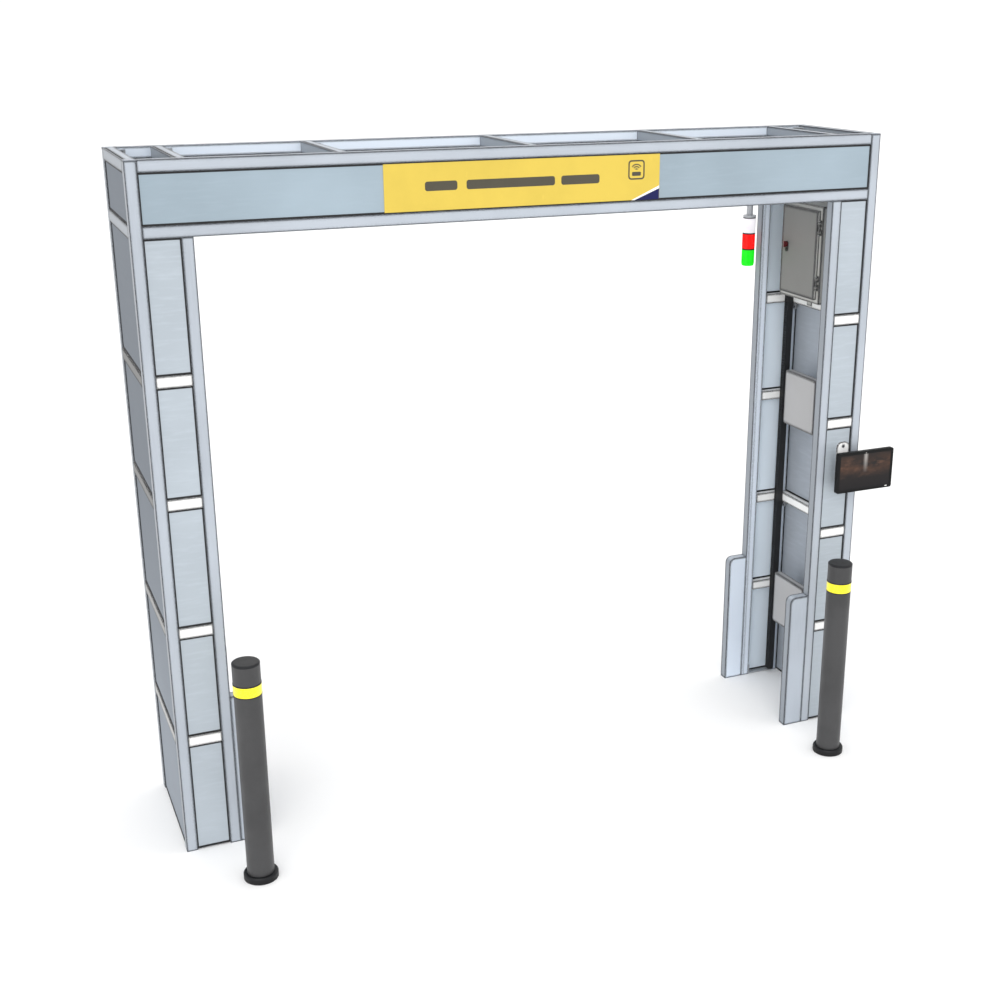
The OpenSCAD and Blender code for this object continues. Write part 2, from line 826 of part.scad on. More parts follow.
module tablet_arm() {
    color("white") difference() {
        union() {
            translate([wall_plate_x - 28, -half_d - 2, arm_z - 28]) cube([56, 2, 56]);
            translate([wall_plate_x - 15, -half_d - 14, arm_z - 15])
                cube([pan_x - wall_plate_x + 15, 12.5, 30]);
            translate([pan_x, pan_y, arm_z - barrel_h / 2]) cylinder(r = pan_r, h = barrel_h);
        }
        translate([pan_x, pan_y, arm_z - barrel_h]) cylinder(r = pan_bore_r, h = 2 * barrel_h);
    }
}

// Fork that turns on the arm's barrel with its own pin, and carries the tilt lugs.
module tablet_yoke() {
    half_h = barrel_h / 2 + 0.5 + ear_t;
    web_y = pan_y - 16;
    color([0.2, 0.2, 0.2]) difference() {
        union() {
            translate([pan_x, pan_y, arm_z - half_h]) cylinder(r = pan_bore_r - 0.05, h = 2 * half_h);
            for (z = [arm_z - half_h, arm_z + half_h - ear_t]) {
                translate([pan_x, pan_y, z]) cylinder(r = pan_r, h = ear_t);
                translate([pan_x - pan_r, web_y, z]) cube([2 * pan_r, 16, ear_t]);
            }
            translate([pan_x - 16.5, web_y, arm_z - half_h]) cube([33, 5, 2 * half_h]);
            for (s = [-1, 1]) translate([pan_x + s * 21 - 3, 0, arm_z]) {
                translate([0, tilt_y, 0]) rotate([0, 90, 0]) cylinder(r = 8.5, h = 6);
                translate([0, tilt_y, -8.5]) cube([6, web_y + 5 - tilt_y, 17]);
            }
            translate([pan_x - 24, web_y, arm_z - 8.5]) cube([48, 5, 17]);
        }
        translate([pan_x - 30, tilt_y, arm_z]) rotate([0, 90, 0])
            cylinder(r = tilt_bore_r, h = 60);
    }
}

// Back plate of the tablet with the barrel and the pin that it tilts on.
module tablet_holder() {
    color([0.2, 0.2, 0.2]) {
        translate([pan_x - 50, tablet_back, arm_z - 37.5]) cube([100, 3, 75]);
        translate([pan_x - 16, tilt_y, arm_z]) rotate([0, 90, 0]) cylinder(r = tilt_r, h = 32);
        translate([pan_x - 16, tablet_back + 2, arm_z - 5]) cube([32, 9, 10]);
        translate([pan_x - 26, tilt_y, arm_z]) rotate([0, 90, 0])
            cylinder(r = tilt_bore_r - 0.05, h = 52);
    }
}

module tablet_shell() {
    r = 10;
    lip = 3;
    x0 = pan_x - tablet_w / 2;
    z0 = arm_z - tablet_h / 2;
    color([0.06, 0.06, 0.07]) difference() {
        translate([x0, tablet_back, z0]) rotate([90, 0, 0]) linear_extrude(tablet_t) {
            translate([r, 0]) square([tablet_w - 2 * r, tablet_h]);
            translate([0, r]) square([tablet_w, tablet_h - 2 * r]);
            for (x = [r, tablet_w - r], z = [r, tablet_h - r]) translate([x, z]) circle(r);
        }
        translate([x0 + lip, tablet_back - tablet_t - eps, z0 + lip])
            cube([tablet_w - 2 * lip, 2.5 + eps, tablet_h - 2 * lip]);
        translate([x0 + lip + 6, tablet_back - tablet_t + 2, z0 + lip + 6])
            cube([tablet_w - 2 * lip - 12, tablet_t - 5, tablet_h - 2 * lip - 12]);
        translate([x0 + tablet_w - 4, tablet_back - 12 - button_w / 2, arm_z + button_z - button_l / 2])
            cube([5, button_w, button_l]);
    }
}

module tablet_screen() {
    lip = 3.3;
    color([0.1, 0.08, 0.08])
        translate([pan_x - tablet_w / 2 + lip, tablet_back - tablet_t + 0.4,
            arm_z - tablet_h / 2 + lip])
            cube([tablet_w - 2 * lip, 2, tablet_h - 2 * lip]);
}

module tablet_button() {
    color([0.12, 0.12, 0.13])
        translate([pan_x + tablet_w / 2 - 2.5, tablet_back - 12 - button_w / 2 + 0.3,
            arm_z + button_z - button_l / 2 + 0.3])
            cube([4.5, button_w - 0.6, button_l - 0.6]);
}

left_uprights();
right_uprights();
front_top_rail();
front_bottom_rail();
back_top_rail();
back_bottom_rail();
beam_cross_members();
left_crossbars();
right_crossbars();
left_front_panels();
left_side_panels();
left_back_panels();
right_front_panels();
right_side_panels();
right_back_panels();
beam_front_panel();
beam_back_panel();
beam_end_panels();
upright_caps();
corner_brackets();
frame_screws();
floor_shoes();
cable_ducts();
cable_duct_covers();
sign_plate();
left_guards();
right_guards();
bollard_posts();
bollard_caps();
bollard_bands();
bollard_base_plates();
bollard_base_rings();
antenna_covers();
antenna_back_plates();
antenna_brackets();
tower_stem();
white_lamp();
red_lamp();
green_lamp();
cabinet_body();
cabinet_door();
cabinet_gasket();
cabinet_hinge_pins();
latch_housing();
latch_knob();
latch_cam();
mounting_plate();
din_rail();
rfid_reader();
power_supply();
circuit_breaker();
breaker_toggle();
cable_glands();
tablet_wall_plate();
tablet_arm();
tablet_yoke();
tablet_holder();
tablet_shell();
tablet_screen();
tablet_button();
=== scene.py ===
"""Looks of the security gate: materials, small detail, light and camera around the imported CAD."""

import math

import bpy
from mathutils import Matrix, Vector

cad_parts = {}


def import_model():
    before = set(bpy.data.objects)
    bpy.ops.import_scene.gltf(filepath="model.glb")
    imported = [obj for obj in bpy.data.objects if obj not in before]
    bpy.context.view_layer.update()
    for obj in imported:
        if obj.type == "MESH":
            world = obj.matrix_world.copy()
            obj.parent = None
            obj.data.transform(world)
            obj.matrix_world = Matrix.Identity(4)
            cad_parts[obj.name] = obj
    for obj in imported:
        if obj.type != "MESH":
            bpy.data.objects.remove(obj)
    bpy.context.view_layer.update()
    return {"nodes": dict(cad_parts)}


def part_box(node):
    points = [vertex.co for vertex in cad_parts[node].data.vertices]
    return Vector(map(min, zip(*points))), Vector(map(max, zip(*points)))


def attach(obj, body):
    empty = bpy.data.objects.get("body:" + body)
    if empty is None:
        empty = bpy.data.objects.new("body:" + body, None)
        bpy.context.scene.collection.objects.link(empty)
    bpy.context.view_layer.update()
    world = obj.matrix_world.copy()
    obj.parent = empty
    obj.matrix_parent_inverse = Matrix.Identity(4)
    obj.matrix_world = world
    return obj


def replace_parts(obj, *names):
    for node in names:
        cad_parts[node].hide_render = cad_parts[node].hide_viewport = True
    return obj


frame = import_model()
NODES = frame["nodes"]
GATE = "gate"


# ---------------------------------------------------------------- colours and node trees

# Drawn edges: reach in metres, and the turn of the surface at which the line starts and is full.
EDGE_REACH = 0.011
EDGE_TURN = (0.005, 0.013)
# How strongly the metal and the pale paint take the drawn edges.
EDGE_INK = 0.95
# Where painted light begins on inner back faces along Y, and painted shade on outer left faces
# along X.
BACK_Y = (0.20, 0.24)
LEFT_X = (-1.50, -1.54)
# Painted shade on the left pillar's outer faces, weaker near the floor: height range and how shaded
# they are.
LEFT_Z = (0.0, 1.6)
LEFT_SHADE = (0.45, 0.95)
# Painted shade on the metal's side faces: their darker tone, and how fully they take it.
METAL_SIDE_SHADE, METAL_SIDE_SHADE_MIX = 0.55, 0.85
# Painted light on inner faces of the back frame and sheets, painted shade on outer faces of the
# left sheets.
METAL_INSIDE_LIGHT, METAL_INSIDE_LIGHT_MIX = 1.7, 0.9
SHEET_INSIDE_LIGHT = 1.82
SHEET_SHADED = 0.45
STRETCH = {"X": (1, 60, 60), "Y": (60, 1, 60), "Z": (60, 60, 1)}
SHEET_STRETCH = {"X": (0.12, 1, 1), "Y": (1, 0.12, 1), "Z": (1, 1, 0.12)}


def srgb(r, g, b):
    """Linear colour with alpha from three 0-255 display values."""
    out = []
    for value in (r, g, b):
        c = value / 255
        out.append(c / 12.92 if c <= 0.04045 else ((c + 0.055) / 1.055) ** 2.4)
    return (*out, 1.0)


def scaled(colour, factor, lift=0.0):
    """A colour made darker or lighter, with no channel above 1."""
    return tuple(min(1, c * factor + lift) for c in colour[:3]) + (1,)


INK = srgb(22, 24, 28)


class Tree:
    """A material's node tree with short ways to add nodes."""

    def __init__(self, name):
        self.material = bpy.data.materials.new(name)
        self.material.use_nodes = True
        self.nt = self.material.node_tree
        self.shader = self.nt.nodes["Principled BSDF"]
        self.coords = self.add("ShaderNodeTexCoord")
        self.place = self.coords.outputs["Object"]

    def add(self, kind, inputs=(), **props):
        n = self.nt.nodes.new(kind)
        for key, value in props.items():
            setattr(n, key, value)
        for key, value in dict(inputs).items():
            self.set(n.inputs[key], value)
        return n

    def set(self, socket, value):
        if isinstance(value, bpy.types.NodeSocket):
            self.nt.links.new(value, socket)
        else:
            socket.default_value = value

    def noise(self, scale, detail=2.0, rough=0.5, stretch=(1, 1, 1), shift=(0, 0, 0)):
        at = self.add(
            "ShaderNodeMapping",
            {"Vector": self.place, "Location": shift, "Scale": stretch},
        ).outputs["Vector"]
        return self.add(
            "ShaderNodeTexNoise",
            {"Vector": at, "Scale": scale, "Detail": detail, "Roughness": rough},
        ).outputs["Fac"]

    def math(self, operation, a, b=0.0):
        return self.add("ShaderNodeMath", {0: a, 1: b}, operation=operation).outputs[0]

    def remap(self, value, lo, hi, out_lo=0.0, out_hi=1.0):
        return self.add(
            "ShaderNodeMapRange",
            {"Value": value, 1: lo, 2: hi, 3: out_lo, 4: out_hi},
            clamp=True,
        ).outputs["Result"]

    def mix(self, factor, a, b):
        n = self.add("ShaderNodeMix", data_type="RGBA")
        self.set(n.inputs[0], factor)
        self.set(n.inputs[6], a)
        self.set(n.inputs[7], b)
        return n.outputs[2]

    def axis(self, name):
        split = self.add("ShaderNodeSeparateXYZ", {0: self.place})
        return split.outputs[name]

    def edge_mask(self):
        """1 close to an edge, where the surface turns within the reach."""
        soft = self.add("ShaderNodeBevel", {"Radius": EDGE_REACH}, samples=6).outputs["Normal"]
        flat = self.add("ShaderNodeNewGeometry").outputs["Normal"]
        same = self.add("ShaderNodeVectorMath", {0: soft, 1: flat}, operation="DOT_PRODUCT")
        turn = self.math("SUBTRACT", 1.0, same.outputs["Value"])
        return self.remap(turn, *EDGE_TURN)

    def inked(self, colour, amount):
        """A colour with the drawn edges over it."""
        return self.mix(self.math("MULTIPLY", self.edge_mask(), amount), colour, INK)

    def normal(self, axis):
        split = self.add("ShaderNodeSeparateXYZ", {0: self.coords.outputs["Normal"]})
        return split.outputs[axis]

    def sideways(self):
        """1 on faces that look left or right."""
        return self.remap(self.math("ABSOLUTE", self.normal("X")), 0.55, 0.85)

    def inside_back(self):
        """1 on faces of the back frame and sheets that look into the gate, where light is painted.
        """
        forward = self.remap(self.normal("Y"), -0.5, -0.8)
        return self.math("MULTIPLY", forward, self.remap(self.axis("Y"), *BACK_Y))

    def outer_left(self):
        """Shade of the left pillar's faces that look away from the passage, 0 elsewhere."""
        leftward = self.remap(self.normal("X"), -0.5, -0.8)
        leftward = self.math("MULTIPLY", leftward, self.remap(self.axis("X"), *LEFT_X))
        rising = self.remap(self.axis("Z"), *LEFT_Z, *LEFT_SHADE)
        return self.math("MULTIPLY", leftward, rising)

    def bump(self, height, strength, distance, under=None):
        n = self.add(
            "ShaderNodeBump",
            {"Height": height, "Strength": strength, "Distance": distance},
        )
        if under is not None:
            self.set(n.inputs["Normal"], under)
        return n.outputs["Normal"]

    def finish(self, colour, rough, normal=None, **constants):
        self.set(self.shader.inputs["Base Color"], colour)
        self.set(self.shader.inputs["Roughness"], rough)
        if normal is not None:
            self.set(self.shader.inputs["Normal"], normal)
        for key, value in constants.items():
            self.shader.inputs[key.replace("_", " ")].default_value = value
        return self.material


def drawn_metal(name, tone, along):
    """Anodised metal with fine lines along one axis, dark edges, painted shade on side faces and
    painted light on inner back faces.
    """
    t = Tree(name)
    base = srgb(*tone)
    darker = scaled(base, 0.86)
    lines = t.noise(14, 3, 0.6, STRETCH[along])
    fine = t.noise(60, 2, 0.6, STRETCH[along], (3, 5, 7))
    cloud = t.noise(2.2, 3, 0.55)
    colour = t.mix(t.remap(cloud, 0.35, 0.68), darker, base)
    colour = t.mix(t.remap(lines, 0.45, 0.75, 0, 0.55), colour, scaled(base, 1.07))
    colour = t.mix(t.remap(fine, 0.5, 0.8, 0, 0.3), colour, darker)
    # Painted shade: faces that look left or right are darkened.
    side = t.math("MULTIPLY", t.sideways(), METAL_SIDE_SHADE_MIX)
    colour = t.mix(side, colour, scaled(base, METAL_SIDE_SHADE))
    # Painted light: the back frame's inner faces are lightened where they lie in shadow.
    inside = t.math("MULTIPLY", t.inside_back(), METAL_INSIDE_LIGHT_MIX)
    colour = t.mix(inside, colour, scaled(base, METAL_INSIDE_LIGHT))
    rough = t.remap(fine, 0.3, 0.75, 0.34, 0.52)
    normal = t.bump(fine, 0.12, 0.0002, t.bump(lines, 0.1, 0.0004))
    return t.finish(
        t.inked(colour, EDGE_INK), rough, normal, Metallic=0.2, Specular_IOR_Level=0.3
    )


def coated(
    name, tone, rough=(0.38, 0.55), peel=900, dirt=0.12, edge=0.0, side=1.0, left=1.0, gloss=0.3
):
    """Paint or powder coat: fine orange peel, faint dirt and scuffs.

    side and left are painted shade: the darker tones of faces that look sideways and of the left
    pillar's outer faces.
    """
    t = Tree(name)
    base = srgb(*tone)
    cloud = t.noise(5, 4, 0.6)
    scuff = t.noise(38, 3, 0.7, (1, 1, 0.25), (2, 1, 4))
    skin = t.noise(peel, 2, 0.5)
    colour = t.mix(t.remap(cloud, 0.4, 0.75), base, scaled(base, 1 - 2.2 * dirt))
    colour = t.mix(t.remap(scuff, 0.66, 0.8, 0, 0.5), colour, scaled(base, 1.12, 0.004))
    # Painted shade on sideways faces and on the left pillar's outer faces.
    if side < 1:
        colour = t.mix(t.sideways(), colour, scaled(base, side))
    if left < 1:
        colour = t.mix(t.outer_left(), colour, scaled(base, left))
    if edge:
        colour = t.inked(colour, edge)
    roughness = t.remap(cloud, 0.3, 0.7, *rough)
    normal = t.bump(skin, 0.18, 0.0003, t.bump(scuff, 0.08, 0.0004))
    return t.finish(colour, roughness, normal, Specular_IOR_Level=gloss)


def plastic(
    name, tone, rough=(0.3, 0.42), grain=1400, depth=0.0002, shade=0.1, edge=0.0, **constants
):
    """Moulded plastic or rubber with a fine grain."""
    t = Tree(name)
    base = srgb(*tone)
    cloud = t.noise(9, 4, 0.6)
    skin = t.noise(grain, 2, 0.6)
    dust = t.noise(70, 3, 0.7, shift=(1, 2, 3))
    colour = t.mix(t.remap(cloud, 0.35, 0.7), scaled(base, 1 - shade), base)
    colour = t.mix(t.remap(dust, 0.62, 0.85, 0, 0.5), colour, scaled(base, 1 + shade, 0.003))
    if edge:
        colour = t.inked(colour, edge)
    roughness = t.remap(cloud, 0.3, 0.7, *rough)
    return t.finish(colour, roughness, t.bump(skin, 0.25, depth), **constants)


def zinc(name, tone, rough, metallic):
    """Zinc-plated steel with soft spangle and drawing lines."""
    t = Tree(name)
    base = srgb(*tone)
    darker = scaled(base, 0.72)
    cells = t.add(
        "ShaderNodeTexVoronoi", {"Vector": t.place, "Scale": 160.0}
    ).outputs["Color"]
    tint = t.add("ShaderNodeSeparateColor", {0: cells}).outputs[0]
    cloud = t.noise(30, 4, 0.6)
    colour = t.mix(t.remap(tint, 0, 1, 0, 0.5), base, darker)
    colour = t.mix(t.remap(cloud, 0.5, 0.8, 0, 0.5), colour, darker)
    return t.finish(
        colour, t.remap(cloud, 0.3, 0.7, *rough), t.bump(cloud, 0.1, 0.0003), Metallic=metallic
    )


def infill(name, tone, along, ripple=0.45, gloss=0.4):
    """Coated sheet with the faint watered lines of a brushed film, painted light on inner back
    faces and painted shade on outer left faces.
    """
    t = Tree(name)
    base = srgb(*tone)
    darker = scaled(base, 0.84)
    water = t.noise(70, 4, 0.65, SHEET_STRETCH[along])
    fine = t.noise(420, 2, 0.5, SHEET_STRETCH[along], (4, 2, 9))
    cloud = t.noise(1.6, 3, 0.5)
    colour = t.mix(t.remap(cloud, 0.35, 0.7), darker, base)
    colour = t.mix(t.remap(water, 0.48, 0.72, 0, ripple), colour, scaled(base, 1.10))
    colour = t.mix(t.remap(fine, 0.55, 0.8, 0, ripple * 0.6), colour, darker)
    # Painted light on inner back faces and painted shade on the left pillar's outer faces.
    colour = t.mix(t.inside_back(), colour, scaled(base, SHEET_INSIDE_LIGHT))
    colour = t.mix(t.outer_left(), colour, scaled(base, SHEET_SHADED))
    rough = t.remap(water, 0.3, 0.7, 0.36, 0.5)
    normal = t.bump(fine, 0.08, 0.0002)
    return t.finish(colour, rough, normal, Metallic=0.1, Specular_IOR_Level=gloss)


def lens(name, tone, glow):
    """Translucent lamp lens, lit weakly from inside, with fine upright ripples."""
    t = Tree(name)
    base = srgb(*tone)
    cloud = t.noise(24, 3, 0.6)
    ripple = t.noise(220, 2, 0.5, (1, 1, 0.1))
    colour = t.mix(t.remap(cloud, 0.35, 0.75, 0, 0.5), base, scaled(base, 0.72))
    t.set(t.shader.inputs["Emission Color"], colour)
    return t.finish(
        colour,
        t.remap(ripple, 0.3, 0.7, 0.12, 0.26),
        t.bump(ripple, 0.15, 0.0004),
        Emission_Strength=glow,
        Specular_IOR_Level=0.2,
        Coat_Weight=0.15,
        Coat_Roughness=0.06,
    )


def reflective(name, tone):
    """Yellow reflective film with its honeycomb cells and a faint painted glow."""
    t = Tree(name)
    base = srgb(*tone)
    darker = scaled(base, 0.78)
    cells = t.add(
        "ShaderNodeTexVoronoi",
        {"Vector": t.place, "Scale": 210.0},
        feature="DISTANCE_TO_EDGE",
    ).outputs["Distance"]
    wall = t.remap(cells, 0.02, 0.10)
    scuff = t.noise(40, 4, 0.7)
    colour = t.mix(wall, darker, base)
    colour = t.mix(t.remap(scuff, 0.6, 0.85, 0, 0.5), colour, darker)
    # Painted glow: the film gives off a little light of its own.
    t.set(t.shader.inputs["Emission Color"], colour)
    return t.finish(
        colour,
        t.remap(scuff, 0.3, 0.7, 0.2, 0.36),
        t.bump(wall, 0.2, 0.0002),
        Coat_Weight=0.5,
        Coat_Roughness=0.1,
        Emission_Strength=0.08,
    )


def display(name, lo, hi):
    """Dark display: a warm haze in its upper half and a pale streak down the middle."""
    t = Tree(name)
    mid_x, mid_z = (lo.x + hi.x) / 2, (lo.z + hi.z) / 2
    half_x, half_z = (hi.x - lo.x) / 2, (hi.z - lo.z) / 2
    across = t.math("DIVIDE", t.math("SUBTRACT", t.axis("X"), mid_x), half_x)
    up = t.math("DIVIDE", t.math("SUBTRACT", t.axis("Z"), mid_z), half_z)
    haze = t.noise(11, 3, 0.6, (1, 1, 1.8))
    spots = t.noise(24, 3, 0.6, (0.6, 1, 1.5), (4, 1, 2))
    band = t.math("MULTIPLY", t.remap(up, -0.35, 0.25), t.remap(up, 1.0, 0.3))
    warm = t.math("MULTIPLY", band, t.remap(haze, 0.36, 0.7))
    glow = t.math("MULTIPLY", band, t.remap(spots, 0.52, 0.8, 0, 0.7))
    beam = t.remap(t.math("ABSOLUTE", across), 0.10, 0.0)
    beam = t.math("MULTIPLY", beam, t.remap(up, -0.1, 0.7))
    colour = t.mix(t.remap(up, -1, 0.2), srgb(25, 24, 26), srgb(38, 34, 33))
    colour = t.mix(warm, colour, srgb(72, 52, 42))
    colour = t.mix(glow, colour, srgb(108, 78, 62))
    colour = t.mix(t.math("MULTIPLY", beam, 0.55), colour, srgb(186, 182, 178))
    t.set(t.shader.inputs["Emission Color"], colour)
    rough = t.remap(haze, 0.3, 0.7, 0.08, 0.14)
    return t.finish(colour, rough, None, Emission_Strength=0.3, Specular_IOR_Level=0.15)


# ---------------------------------------------------------------- mesh helpers

SHARP_ANGLE = math.radians(35)
ROUND_STEPS = 5


def linked(name, data):
    """New object in the scene's collection."""
    obj = bpy.data.objects.new(name, data)
    bpy.context.scene.collection.objects.link(obj)
    return obj


class Shape:
    """Collects closed solids in one mesh."""

    def __init__(self):
        self.verts = []
        self.faces = []

    def rings(self, rings):
        """Closed loops of equal length joined one to the next, with both ends capped."""
        base, n = len(self.verts), len(rings[0])
        for ring in rings:
            self.verts += [Vector(p) for p in ring]
        for k in range(len(rings) - 1):
            a, b = base + k * n, base + (k + 1) * n
            self.faces += [(a + i, a + (i + 1) % n, b + (i + 1) % n, b + i) for i in range(n)]
        last = base + (len(rings) - 1) * n
        self.faces.append(tuple(base + i for i in reversed(range(n))))
        self.faces.append(tuple(last + i for i in range(n)))

    def prism(self, outline, z0, z1, place, chamfer=0.0):
        """Outline extruded along local Z, with its far end chamfered, moved by a matrix."""
        levels = [(outline, z0), (outline, z1 - chamfer)]
        if chamfer:
            cx = sum(p[0] for p in outline) / len(outline)
            cy = sum(p[1] for p in outline) / len(outline)
            reach = max(math.hypot(p[0] - cx, p[1] - cy) for p in outline)
            share = 1 - chamfer / reach
            small = [(cx + (x - cx) * share, cy + (y - cy) * share) for x, y in outline]
            levels.append((small, z1))
        self.rings([[place @ Vector((x, y, z)) for x, y in ring] for ring, z in levels])

    def lathe(self, profile, place, count=32, star=0.0):
        """Profile of (radius, height) turned about local Z. star adds fine flutes."""
        rings = []
        for r, z in profile:
            ring = []
            for i in range(count):
                a = 2 * math.pi * i / count
                rr = r - star * (i % 2) if r > star * 4 else r
                ring.append(place @ Vector((rr * math.cos(a), rr * math.sin(a), z)))
            rings.append(ring)
        self.rings(rings)

    def bar(self, lo, hi, chamfer):
        """Box between two corners with its edges taken off."""
        lo, hi = Vector(lo), Vector(hi)
        c = min(chamfer, min(hi - lo) * 0.3)
        rings = []
        for z, inset in ((lo.z, c), (lo.z + c, 0), (hi.z - c, 0), (hi.z, c)):
            x0, x1, y0, y1 = lo.x + inset, hi.x - inset, lo.y + inset, hi.y - inset
            rings.append(
                [
                    (x0 + c, y0, z), (x1 - c, y0, z), (x1, y0 + c, z), (x1, y1 - c, z),
                    (x1 - c, y1, z), (x0 + c, y1, z), (x0, y1 - c, z), (x0, y0 + c, z),
                ]
            )
        self.rings(rings)

    def frame(self, corner, u, v, n, wide, high, strips, thick):
        """Mitred strip round a rectangle, rising along n. strips holds its side and end widths."""
        corner, u, v, n = Vector(corner), Vector(u), Vector(v), Vector(n)
        side, end = strips

        def ring(share, rise):
            a, b = side * share, end * share
            return [
                corner + u * x + v * y + n * rise
                for x, y in ((a, b), (wide - a, b), (wide - a, high - b), (a, high - b))
            ]

        base = len(self.verts)
        loops = [
            ring(0, 0), ring(0, thick), ring(0.45, thick), ring(1, thick * 0.35), ring(1, 0),
        ]
        for loop in loops:
            self.verts += loop
        for k in range(5):
            a, b = base + 4 * k, base + 4 * ((k + 1) % 5)
            self.faces += [(a + i, a + (i + 1) % 4, b + (i + 1) % 4, b + i) for i in range(4)]

    def piece(self, name, material, body=GATE, *, slot, smooth=False):
        """The collected solids as one object that rides a body."""
        data = bpy.data.meshes.new(name)
        data.from_pydata([tuple(v) for v in self.verts], [], self.faces)
        data.materials.append(material)
        data.update()
        if smooth:
            data.polygons.foreach_set("use_smooth", [True] * len(data.polygons))
            data.set_sharp_from_angle(angle=SHARP_ANGLE)
        obj = linked(name, data)
        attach(obj, body)
        return obj


def turned(direction, at):
    """Matrix that stands local Z along a direction, at a point."""
    turn = Vector(direction).to_track_quat("Z", "Y").to_matrix().to_4x4()
    return Matrix.Translation(Vector(at)) @ turn


def upright(lo, hi):
    """Matrix to the vertical centre line of a box, at the floor."""
    return Matrix.Translation(((lo.x + hi.x) / 2, (lo.y + hi.y) / 2, 0))


def regular(count, radius):
    """Outline of a regular polygon, centred."""
    step = 2 * math.pi / count
    return [(radius * math.cos(i * step), radius * math.sin(i * step)) for i in range(count)]


def rounded(w, h, r):
    """Outline of a rectangle with round corners, centred."""
    out = []
    for cx, cy, start in (
        (w / 2 - r, h / 2 - r, 0), (-w / 2 + r, h / 2 - r, 90),
        (-w / 2 + r, -h / 2 + r, 180), (w / 2 - r, -h / 2 + r, 270),
    ):
        for i in range(ROUND_STEPS + 1):
            a = math.radians(start + 90 * i / ROUND_STEPS)
            out.append((cx + r * math.cos(a), cy + r * math.sin(a)))
    return out


def spans(name, axis, gap):
    """(low, high) of each group of a CAD node's points along an axis, split at gaps."""
    values = sorted({round(v.co[axis], 5) for v in NODES[name].data.vertices})
    groups = [[values[0], values[0]]]
    for value in values[1:]:
        if value - groups[-1][1] > gap:
            groups.append([value, value])
        groups[-1][1] = value
    return groups


def islands(name):
    """(low corner, high corner, points) of each separate solid of a CAD node."""
    data = NODES[name].data
    keys, parent = [], {}
    for v in data.vertices:
        key = tuple(round(c, 5) for c in v.co)
        keys.append(key)
        parent.setdefault(key, key)

    def root(k):
        while parent[k] != k:
            parent[k] = parent[parent[k]]
            k = parent[k]
        return k

    for poly in data.polygons:
        first = root(keys[poly.vertices[0]])
        for i in poly.vertices[1:]:
            parent[root(keys[i])] = first
    groups = {}
    for key in parent:
        groups.setdefault(root(key), []).append(Vector(key))
    out = []
    for pts in groups.values():
        lo = Vector([min(p[i] for p in pts) for i in range(3)])
        hi = Vector([max(p[i] for p in pts) for i in range(3)])
        out.append((lo, hi, pts))
    return sorted(out, key=lambda g: tuple(g[0]))


# ---------------------------------------------------------------- materials of the CAD nodes

FRAME_TONE = (182, 189, 198)
SHEET_TONE = (178, 187, 195)
ANTENNA_TONE = (168, 168, 169)
ANTENNA_SKIN = {"rough": (0.38, 0.5), "grain": 1200, "shade": 0.05}
CABINET_PAINT = {"peel": 420, "dirt": 0.06, "edge": EDGE_INK}

alu_z = drawn_metal("aluminium_upright", FRAME_TONE, "Z")
alu_x = drawn_metal("aluminium_rail", FRAME_TONE, "X")
alu_y = drawn_metal("aluminium_cross", FRAME_TONE, "Y")
guard_alu = drawn_metal("guard_aluminium", (183, 191, 201), "Z")
cap_mat = coated("cap_coat", (187, 194, 204), edge=0.7)
# Painted shade on the crossbars' outer faces on the left pillar.
white_coat = coated("white_coat", (244, 244, 243), dirt=0.05, edge=EDGE_INK, left=0.25, gloss=0.0)
sheet_x = infill("sheet_film_front", SHEET_TONE, "X")
sheet_y = infill("sheet_film_side", (174, 181, 190), "Y", gloss=0.0)
sheet_beam = infill("sheet_film_beam", (158, 174, 185), "X", ripple=0.2)
zinc_mat = zinc("zinc_plate", (188, 190, 193), (0.28, 0.5), 0.8)
dark_screw = zinc("dark_screw_steel", (92, 94, 98), (0.3, 0.45), 0.7)
duct_mat = plastic("duct_plastic", (24, 24, 26), rough=(0.5, 0.65))
rubber_mat = plastic("black_rubber", (20, 20, 22), rough=(0.6, 0.8), grain=700, depth=0.0004)
sign_mat = coated("sign_yellow", (215, 188, 79), rough=(0.4, 0.5), dirt=0.035)
bollard_mat = coated("bollard_grey", (68, 68, 69), rough=(0.32, 0.5), peel=600, dirt=0.10)
bollard_cap_mat = coated("bollard_cap_grey", (34, 34, 35), rough=(0.35, 0.5), peel=600, edge=0.9)
ring_mat = coated("base_ring_black", (14, 14, 15), rough=(0.4, 0.6), peel=500, edge=0.8)
band_mat = reflective("reflective_yellow", (255, 240, 12))
antenna_mat = plastic("antenna_plastic", ANTENNA_TONE, edge=0.8, **ANTENNA_SKIN)
antenna_face_mat = plastic("antenna_face", ANTENNA_TONE, **ANTENNA_SKIN)
cabinet_mat = coated("cabinet_grey", (184, 184, 180), **CABINET_PAINT)
# Painted shade: the door's faces that look sideways are darkened.
door_mat = coated("cabinet_door_grey", (196, 196, 192), side=0.33, **CABINET_PAINT)
latch_black = plastic("latch_black", (30, 30, 32))
latch_red = plastic("latch_red", (84, 16, 22), rough=(0.25, 0.35), Coat_Weight=0.4)
reader_mat = coated("reader_paint", (66, 72, 82), rough=(0.35, 0.5), dirt=0.05, edge=0.4)
breaker_mat = plastic("breaker_plastic", (226, 226, 222), shade=0.05)
tablet_mat = plastic("tablet_black", (9, 9, 10), rough=(0.45, 0.6), Specular_IOR_Level=0.2)
bracket_black = coated("bracket_black", (26, 26, 28), rough=(0.4, 0.55), dirt=0.1)
stem_mat = plastic("tower_grey", (182, 184, 188), shade=0.06)
lamp_white = lens("lens_white", (244, 240, 245), 0.25)
lamp_red = lens("lens_red", (250, 14, 12), 0.45)
lamp_green = lens("lens_green", (16, 224, 22), 0.40)
screen_mat = display("display_dark", *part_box("tablet_screen"))

